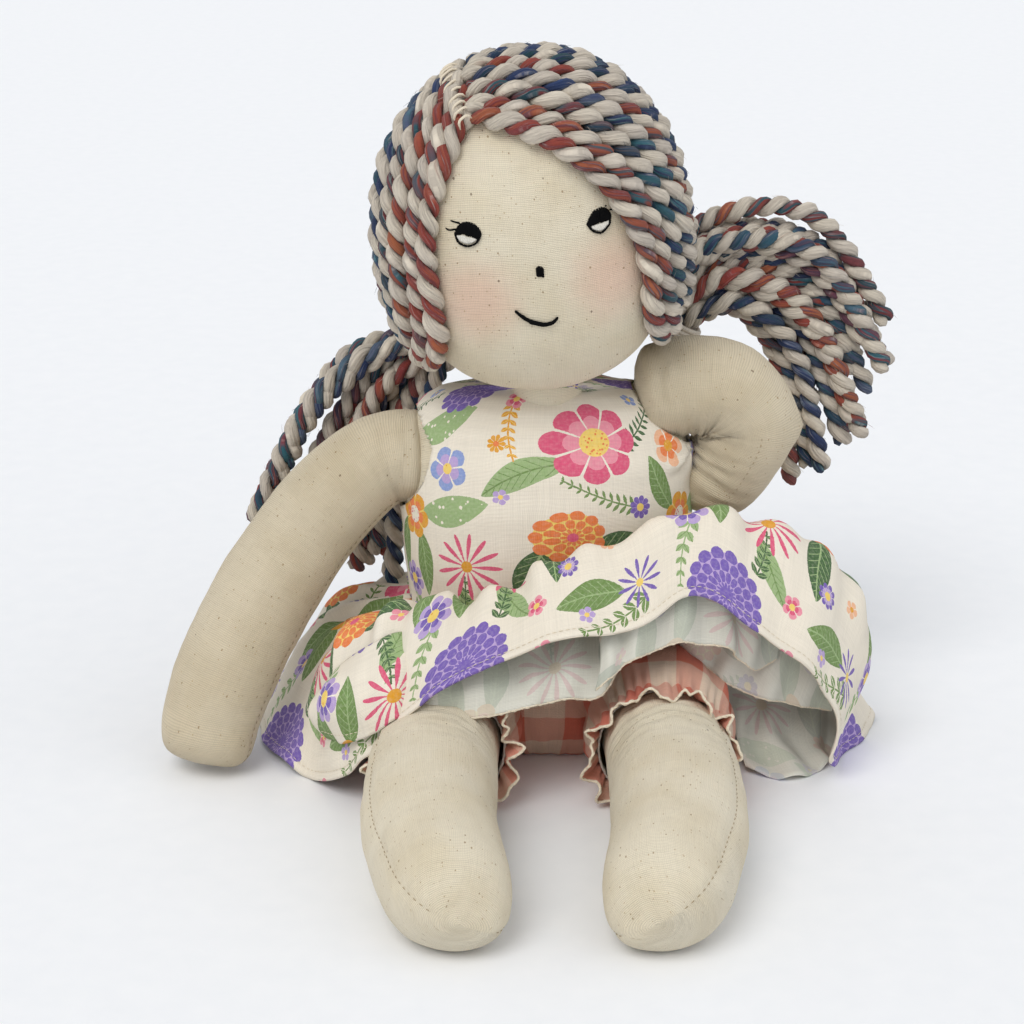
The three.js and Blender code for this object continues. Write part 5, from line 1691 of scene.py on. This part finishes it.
def add_yarn(name, lines, body, nodes, rng):
    """A piece of one or more yarn strands. lines are (points, scale, tone) rows; the tone is where on the run
    of colours a strand starts."""
    points, faces, places, strands = [], [], [], []
    start = 0
    for line, scale, tone in lines:
        one = yarn_plies(line, scale, rng, tone)
        points.append(one[0])
        faces += [tuple(start + corner for corner in face) for face in one[1]]
        places.append(one[2])
        strands.append(one[3])
        start += len(one[0])
    flat = np.concatenate([np.array(face) for face in faces])
    piece = add_mesh(name, np.vstack(points), faces, [yarn], [np.vstack(places)[flat]], body=body)
    layer = piece.data.uv_layers.new(name="strand")
    layer.data.foreach_set("uv", np.vstack(strands)[flat].ravel())
    stands_for(piece, "yarn", *nodes)


def head_offset(points):
    """How far out each point in the head's own coordinates is, as a share of the head's form there."""
    hx, hy, hz = headHalf
    x, y, z = (points - headCentre).T
    power = np.where(z < 0, *headPowers)
    ring = np.sqrt((x / hx) ** 2 + (y / hy) ** 2)
    return (ring ** power + (np.abs(z) / hz) ** power) ** (1 / power)


def on_hair(line, height, hold):
    """Moves points out to height mm from the head's form, as far as hold says, and never nearer than that."""
    line = line.copy()
    height = np.broadcast_to(height, (len(line),))[:, None]
    for _ in range(3):
        share = head_offset(line)
        away = line - headCentre
        form = away / share[:, None]
        target = form + unit(form) * height
        wanted = headCentre + target
        size = np.linalg.norm(away, axis=1)
        inside = (size < np.linalg.norm(target, axis=1)).astype(float)
        keep = np.maximum(hold, inside)[:, None]
        line = part_way(line, wanted, keep)
    return line


def hair_side(name, guides, count, tie, tie_side, tie_up, node, tones, rng):
    """Strands from the part to the tie, placed between guide lines."""
    table = np.array([resampled(guide, hairSteps) for guide in guides])
    spacing = steps_along(table[:, hairSteps * 2 // 5])
    lines = []
    for index in range(count):
        at = spacing[-1] * index / (count - 1)
        share = np.interp(at, spacing, np.arange(len(guides)))
        low = min(int(share), len(guides) - 2)
        t = share - low
        a, b = table[max(low - 1, 0)], table[low]
        c, d = table[low + 1], table[min(low + 2, len(guides) - 1)]
        line = curve(a, b, c, d, t)
        way = np.linspace(0, 1, hairSteps)
        spin = index * 2.4
        spread = 0.35 + 0.6 * ((index * 0.618) % 1)
        end = np.array(tie) + np.array(tie_side) * 8.0 * spread * math.cos(spin)
        end = end + np.array(tie_up) * 6.0 * spread * math.sin(spin)
        pull = smooth_step(0.72, 1.0, way)[:, None]
        line = part_way(line, line + (end - line[-1]), pull)
        height = hairRise + rng.uniform(-0.5, 0.5) + 1.4 * (index % 2) * smooth_step(0.45, 0.75, way)
        hold = 1 - smooth_step(0.66, 0.9, way)
        line = on_hair(line, height, hold)
        dense, gone = spline(line, 1.15)
        sway = np.sin(gone / rng.uniform(14, 20) + rng.random() * TURN) * 0.35
        dense[:, 2] += sway
        scale = 1.03 - 0.3 * smooth_step(0.62, 0.95, np.linspace(0, 1, len(dense)))
        lines.append((on_head(dense), scale, tones[index % len(tones)] + rng.uniform(-0.03, 0.03)))
    add_yarn(name, lines, "head", [node], rng)


def hair_under(name, side, node):
    """A thin dark sheet with a fibre texture under the strands: painted shade in the gaps between them, so
    that no cloth shows there.
    """
    tilts = np.linspace(-1.2, 1.52, 60)
    turns = np.linspace(-0.9, math.pi + 0.9, 70) if side > 0 else np.linspace(0, math.pi, 50)
    angles = turns - side * math.pi / 2
    rows = head_grid(tilts, angles, 1.0)
    rows = rows + unit(rows - headCentre) * (0.5 * grain(rows, 4.0, 2.0))[..., None]
    uv = np.stack([rows[..., 0] * 0.4 + rows[..., 1], rows[..., 2]], axis=2)
    points, faces, uvs = sheet_grid(rows, uv, False, rows - headCentre)
    kept = []
    kept_uvs = []
    edge = hairline[side > 0]
    for face, uv in zip(faces, uvs):
        x, y, z = points[list(face)].mean(axis=0)
        line_x = np.interp(z, [p[1] for p in edge], [p[0] for p in edge])
        covered = y > 2 or (y > -26 and (x > line_x + 8 if side > 0 else x < line_x - 8))
        if covered and z > 16 + 9 * smooth_step(5, 40, y) and (x > partX - 1) == (side > 0):
            kept.append(face)
            kept_uvs.append(uv)
    points, kept, _ = only_used(points, kept)
    piece = cloth(name, on_head(points), kept, kept_uvs, hairGapShadeThickness, [hair_gap_painted_shade, hair_gap_painted_shade], "head")
    stands_for(piece, "yarn", node)


def build_head_hair():
    rng = np.random.default_rng(11)
    right_tie, left_tie = (-39.5, 34, 10.0), (46.0, 35, 6.0)
    right = [
        [(-17.2, -29, 105.5), (-25, -35, 92), (-30.8, -37, 76), (-33.6, -37, 58), (-33.4, -35.5, 38),
         (-36, -27, 24), (-41, 0, 16), right_tie],
        [(-17.2, -15, 113), (-33, -21, 104), (-45, -23, 86), (-50.5, -21, 60), (-49, -16, 36), (-47, 0, 22),
         (-44, 18, 14), right_tie],
        [(-17.2, 5, 117), (-38, 0, 109), (-52, -2, 86), (-57, -2, 60), (-54, 2, 36), (-48, 18, 22),
         right_tie],
        [(-17.2, 20, 113), (-38, 21, 101), (-50, 23, 80), (-54, 22, 57), (-50, 23, 36), (-45, 28, 20),
         right_tie],
        [(-17.2, 32, 104), (-34, 35, 90), (-43, 36, 70), (-45, 37, 50), (-44, 36, 32), (-42, 35, 20),
         right_tie],
        [(-17.2, 42, 84), (-28, 44, 70), (-34, 44, 54), (-38, 42, 38), (-40, 38, 24), right_tie],
        [(-17.2, 45, 58), (-25, 46, 46), (-31, 43, 34), (-36, 40, 22), right_tie],
        [(-17.2, 40, 26), (-25, 40, 21), (-32, 38, 16), right_tie],
    ]
    left = [
        [(-16.8, -30, 105), (-5, -37, 101.5), (7, -39.5, 94.5), (21, -40, 82), (31.5, -38, 66),
         (36, -35, 50), (37.5, -31, 32), (41, -11, 18), (44, 14, 11), left_tie],
        [(-16.8, -22, 109.5), (0, -29, 108), (16, -32, 101), (32, -32, 86), (43, -29, 66), (47.5, -24, 46),
         (48, -14, 28), (48, 8, 16), left_tie],
        [(-16.8, -10, 114), (6, -17, 114), (27, -20, 104), (43, -18, 84), (52, -13, 62), (54, -6, 42),
         (52, 6, 26), (48, 22, 14), left_tie],
        [(-16.8, 5, 117), (12, 1, 118), (34, 0, 106), (50, 0, 84), (57, 2, 60), (56, 7, 40), (51, 18, 24),
         left_tie],
        [(-16.8, 20, 113), (10, 23, 114), (32, 22, 101), (47, 21, 78), (53, 21, 54), (52, 23, 36),
         (48, 28, 20), left_tie],
        [(-16.8, 32, 104), (8, 38, 101), (27, 38, 88), (39, 37, 68), (45, 36, 48), (47, 35, 30), left_tie],
        [(-16.8, 42, 84), (4, 46, 78), (20, 46, 62), (32, 43, 46), (40, 40, 28), left_tie],
        [(-16.8, 45, 58), (0, 48, 48), (16, 47, 38), (30, 43, 26), (39, 39, 15), left_tie],
        [(-16.8, 41, 30), (0, 42, 24), (15, 42, 19), (30, 40, 13), left_tie],
    ]
    hair_side("hair_yarn_right", right, 17, right_tie, (0.7, 0, 0.7), (0, 1, 0), "hair_side_right",
              rightTones, rng)
    hair_side("hair_yarn_left", left, 21, left_tie, (0.84, 0, -0.54), (0, 1, 0), "hair_side_left",
              leftTones, rng)
    hair_under("hair_under_right", -1, "hair_side_right")
    hair_under("hair_under_left", 1, "hair_side_left")


def build_part_stitching():
    """Long cream stitches across the part, which sew the yarn to the head."""
    parts = []
    rng = np.random.default_rng(3)
    for y in np.arange(-33, 29, 3.3):
        half = rng.uniform(2.6, 3.6)
        t = np.linspace(-1, 1, 9)[:, None]
        line = np.column_stack([partX + half * t, y + 1.4 * t + rng.uniform(-0.5, 0.5), 0 * t + 100])
        line = on_hair(line, 8.6, np.ones(9))
        wide, deep, high = stitchDome
        under = 1 - (line[:, 0] / wide) ** 2 - ((line[:, 1] + 4) / deep) ** 2
        line[:, 2] = headCentre[2] + np.sqrt(np.maximum(under, 0.05)) * high
        ends = np.abs(t[:, 0]) ** 4
        line = line - unit(line - headCentre) * (3.4 * ends)[:, None]
        parts.append(thread(on_head(line), 0.5, 7))
    threadwork("hair_part_stitches", parts, cream_thread, "head", "cream_thread", "hair_part_stitching")


def build_bunches():
    """Each bunch: a strand for every solid, and some thinner and shorter ones among them."""
    for name, outer, inner, rows, extra, bulge in bunches:
        rng = np.random.default_rng(21 if name == "right" else 34)
        body = "bunch_" + name
        widest = max(rows)
        strands = []
        for row, count in enumerate(rows):
            for k in range(count):
                share = 0.5 + (k - (count - 1) / 2) / (widest - 1)
                strands.append((share, (row - 1) * bunchRowPitch, 1.0))
        for index in range(len(strands) + extra):
            whole = index < len(strands)
            if whole:
                share, depth, size = strands[index]
            else:
                share = rng.uniform(0.04, 0.96)
                depth = rng.choice([-5.5, -1.5, 3.0, 6.0]) + rng.uniform(-1, 1)
                size = rng.uniform(0.86, 0.98)
            line = []
            for i, (out, into) in enumerate(zip(outer, inner)):
                x = into[0] + (out[0] - into[0]) * share
                z = into[1] + (out[1] - into[1]) * share
                belly = 4 * share * (1 - share) * (i / (len(outer) - 1)) ** 2
                line.append([x + bulge[0] * belly, bunchY + depth, z + bulge[1] * belly])
            line = np.array(line)
            back = line[0] - line[1]
            line = np.vstack([line[0] + back * 0.35, line])
            line[2:] += rng.normal(0, 1, (len(line) - 2, 3)) * (1.0, 0.7, 1.0)
            dense, gone = spline(line, 1.15)
            least, most = (0.92, 0.995) if whole else (0.78, 0.97)
            dense = dense[gone <= gone[-1] * rng.uniform(least, most)]
            way = np.linspace(0, 1, len(dense))
            scale = size * (0.8 + 0.22 * smooth_step(0.05, 0.3, way))
            if whole:
                node = "bunch_%s_strand_%d" % (name, index + 1)
                piece_name = "bunch_%s_yarn_%d" % (name, index + 1)
            else:
                node = "bunch_%s_strand_%d" % (name, 1 + index % len(strands))
                piece_name = "bunch_%s_yarn_more_%d" % (name, index - len(strands) + 1)
            tone = bunchTones[index % len(bunchTones)] + rng.uniform(-0.04, 0.04)
            add_yarn(piece_name, [(dense, scale, tone)], body, [node], rng)
        build_tie(name, outer, inner)


def build_tie(name, outer, inner):
    """An elastic hair tie, wound round the bunch in three turns."""
    node = "bunch_" + name + "_tie"
    middle = box_middle(node)
    start = (np.array(outer[0]) + inner[0]) / 2
    after = (np.array(outer[1]) + inner[1]) / 2
    along = unit(np.array([after[0] - start[0], 0, after[1] - start[1]]))
    back = np.array([0, 1.0, 0])
    across = np.cross(back, along)
    wide = tieWidth[name]
    parts = []
    for turn, shift in enumerate((-1.7, 0.0, 1.7)):
        angles = np.linspace(0, TURN, 90)
        x, y = squared_circle(angles, 2 / tieSquareness)
        wave = shift + 0.3 * np.sin(angles * 2 + turn)
        line = middle + wide * x[:, None] * across + tieDepth * y[:, None] * back + wave[:, None] * along
        parts.append(thread(line, 1.05, 10))
    threadwork(node + "_elastic", parts, elastic, "bunch_" + name, "elastic", node)


partX = -17
# The thickness of the dark sheet of painted shade under the hair
hairGapShadeThickness = 0.6
hairSteps = 60
# The half sizes of the dome on which the stitches of the part lie
stitchDome = (61, 57, 67.2)
tieWidth = {"right": 12.6, "left": 14.8}
tieDepth = 10.6
tieSquareness = 2.5
bunchY = 34
bunchRowPitch = 6.84
hairRise = 4.3
yarnPitch = 12.4
# Loose fibres for each mm of yarn, and a direction that no strand runs in
yarnFuzz = 1.3
yarnAcross = np.array([0.21, -0.93, 0.3])
yarnHelix = 1.85
plyRadius = 2.2
colourRun = 900.0
# The share of each strand place after its ply that carries the painted shade of the valley between the plies
paintedShadeStep = 0.45
# Where each strand starts on the run of colours, from the face backwards
rightTones = [0.97, 0.74, 0.98, 0.08, 0.33, 0.4, 0.27, 0.73, 0.36, 0.28, 0.96, 0.4]
leftTones = [0.96, 0.98, 0.09, 0.3, 0.97, 0.26, 0.33, 0.4, 0.28, 0.95, 0.34, 0.6, 0.3, 0.78]
# Share of the run, then the colour
yarnColours = [(0.0, (160, 66, 50)), (0.07, (168, 60, 50)), (0.13, (196, 112, 70)), (0.18, (150, 56, 50)),
               (0.24, (128, 60, 66)), (0.29, (48, 104, 116)), (0.36, (26, 72, 84)), (0.42, (32, 58, 110)),
               (0.49, (30, 50, 92)), (0.55, (98, 110, 138)), (0.61, (46, 112, 124)), (0.67, (30, 66, 96)),
               (0.73, (124, 58, 72)), (0.79, (168, 70, 56)), (0.85, (40, 98, 112)), (0.91, (172, 72, 54)),
               (1.0, (160, 66, 50))]
hairline = {
    False: [(-37, 10), (-34, 24), (-34.5, 58), (-29.5, 80), (-18, 103), (-17, 118)],
    True: [(39, 10), (38, 30), (36, 55), (29, 78), (13, 93.5), (-14, 104), (-17, 118)],
}
bunches = [
    ("right", [(-43.8, 161.4), (-53, 152.2), (-76, 143), (-98, 118), (-122, 70)],
     [(-32.6, 150.2), (-41.8, 141), (-50, 122), (-57, 96), (-62, 46)], (3, 2, 3), 9, (0, 0)),
    ("left", [(34, 164.4), (38.3, 171.1), (60, 199), (102, 200), (136, 154)],
     [(54, 151.6), (58.3, 158.3), (76, 164), (93, 140), (100, 92)], (3, 4, 3), 15, (9, -12)),
]
bunchTones = [0.3, 0.96, 0.42, 0.7, 0.56, 0.36, 0.02, 0.48, 0.84, 0.62, 0.26, 0.44, 0.12]
yarn = yarn_material()
# A dark sheet under the hair: painted shade for the gaps between the strands
hair_gap_painted_shade = thread_material("painted shade under the hair", srgb(150, 132, 126), 0.75)
elastic = thread_material("elastic", srgb(222, 214, 200), 0.55)
build_head_hair()
build_part_stitching()
build_bunches()
declare_cloth()

add_camera()
add_world()
add_sun("key", keyStrength, (1.0, 0.98, 0.95), 35, 38, -28)
add_sun("fill", fillStrength, (0.95, 0.97, 1.0), 60, 50, 60)

floor_shader = Shader("paper floor", {"Specular IOR Level": 0.2})
floor_place = floor_shader.object_place()
floor_noise = floor_shader.noise(floor_place, 90.0, 3)
floor_colour = floor_shader.mix(floor_noise, srgb(240, 242, 245), srgb(246, 247, 249))
paper = floor_shader.finish(floor_colour, floor_shader.step(floor_noise, 0, 1, 0.75, 0.9), floor_noise, 0.05)
floor = add_mesh("floor", [(-6000, -6000, 0), (6000, -6000, 0), (6000, 6000, 0), (-6000, 6000, 0)],
                 [(0, 1, 2, 3)], [paper])

bpy.context.scene.view_settings.view_transform = "Standard"
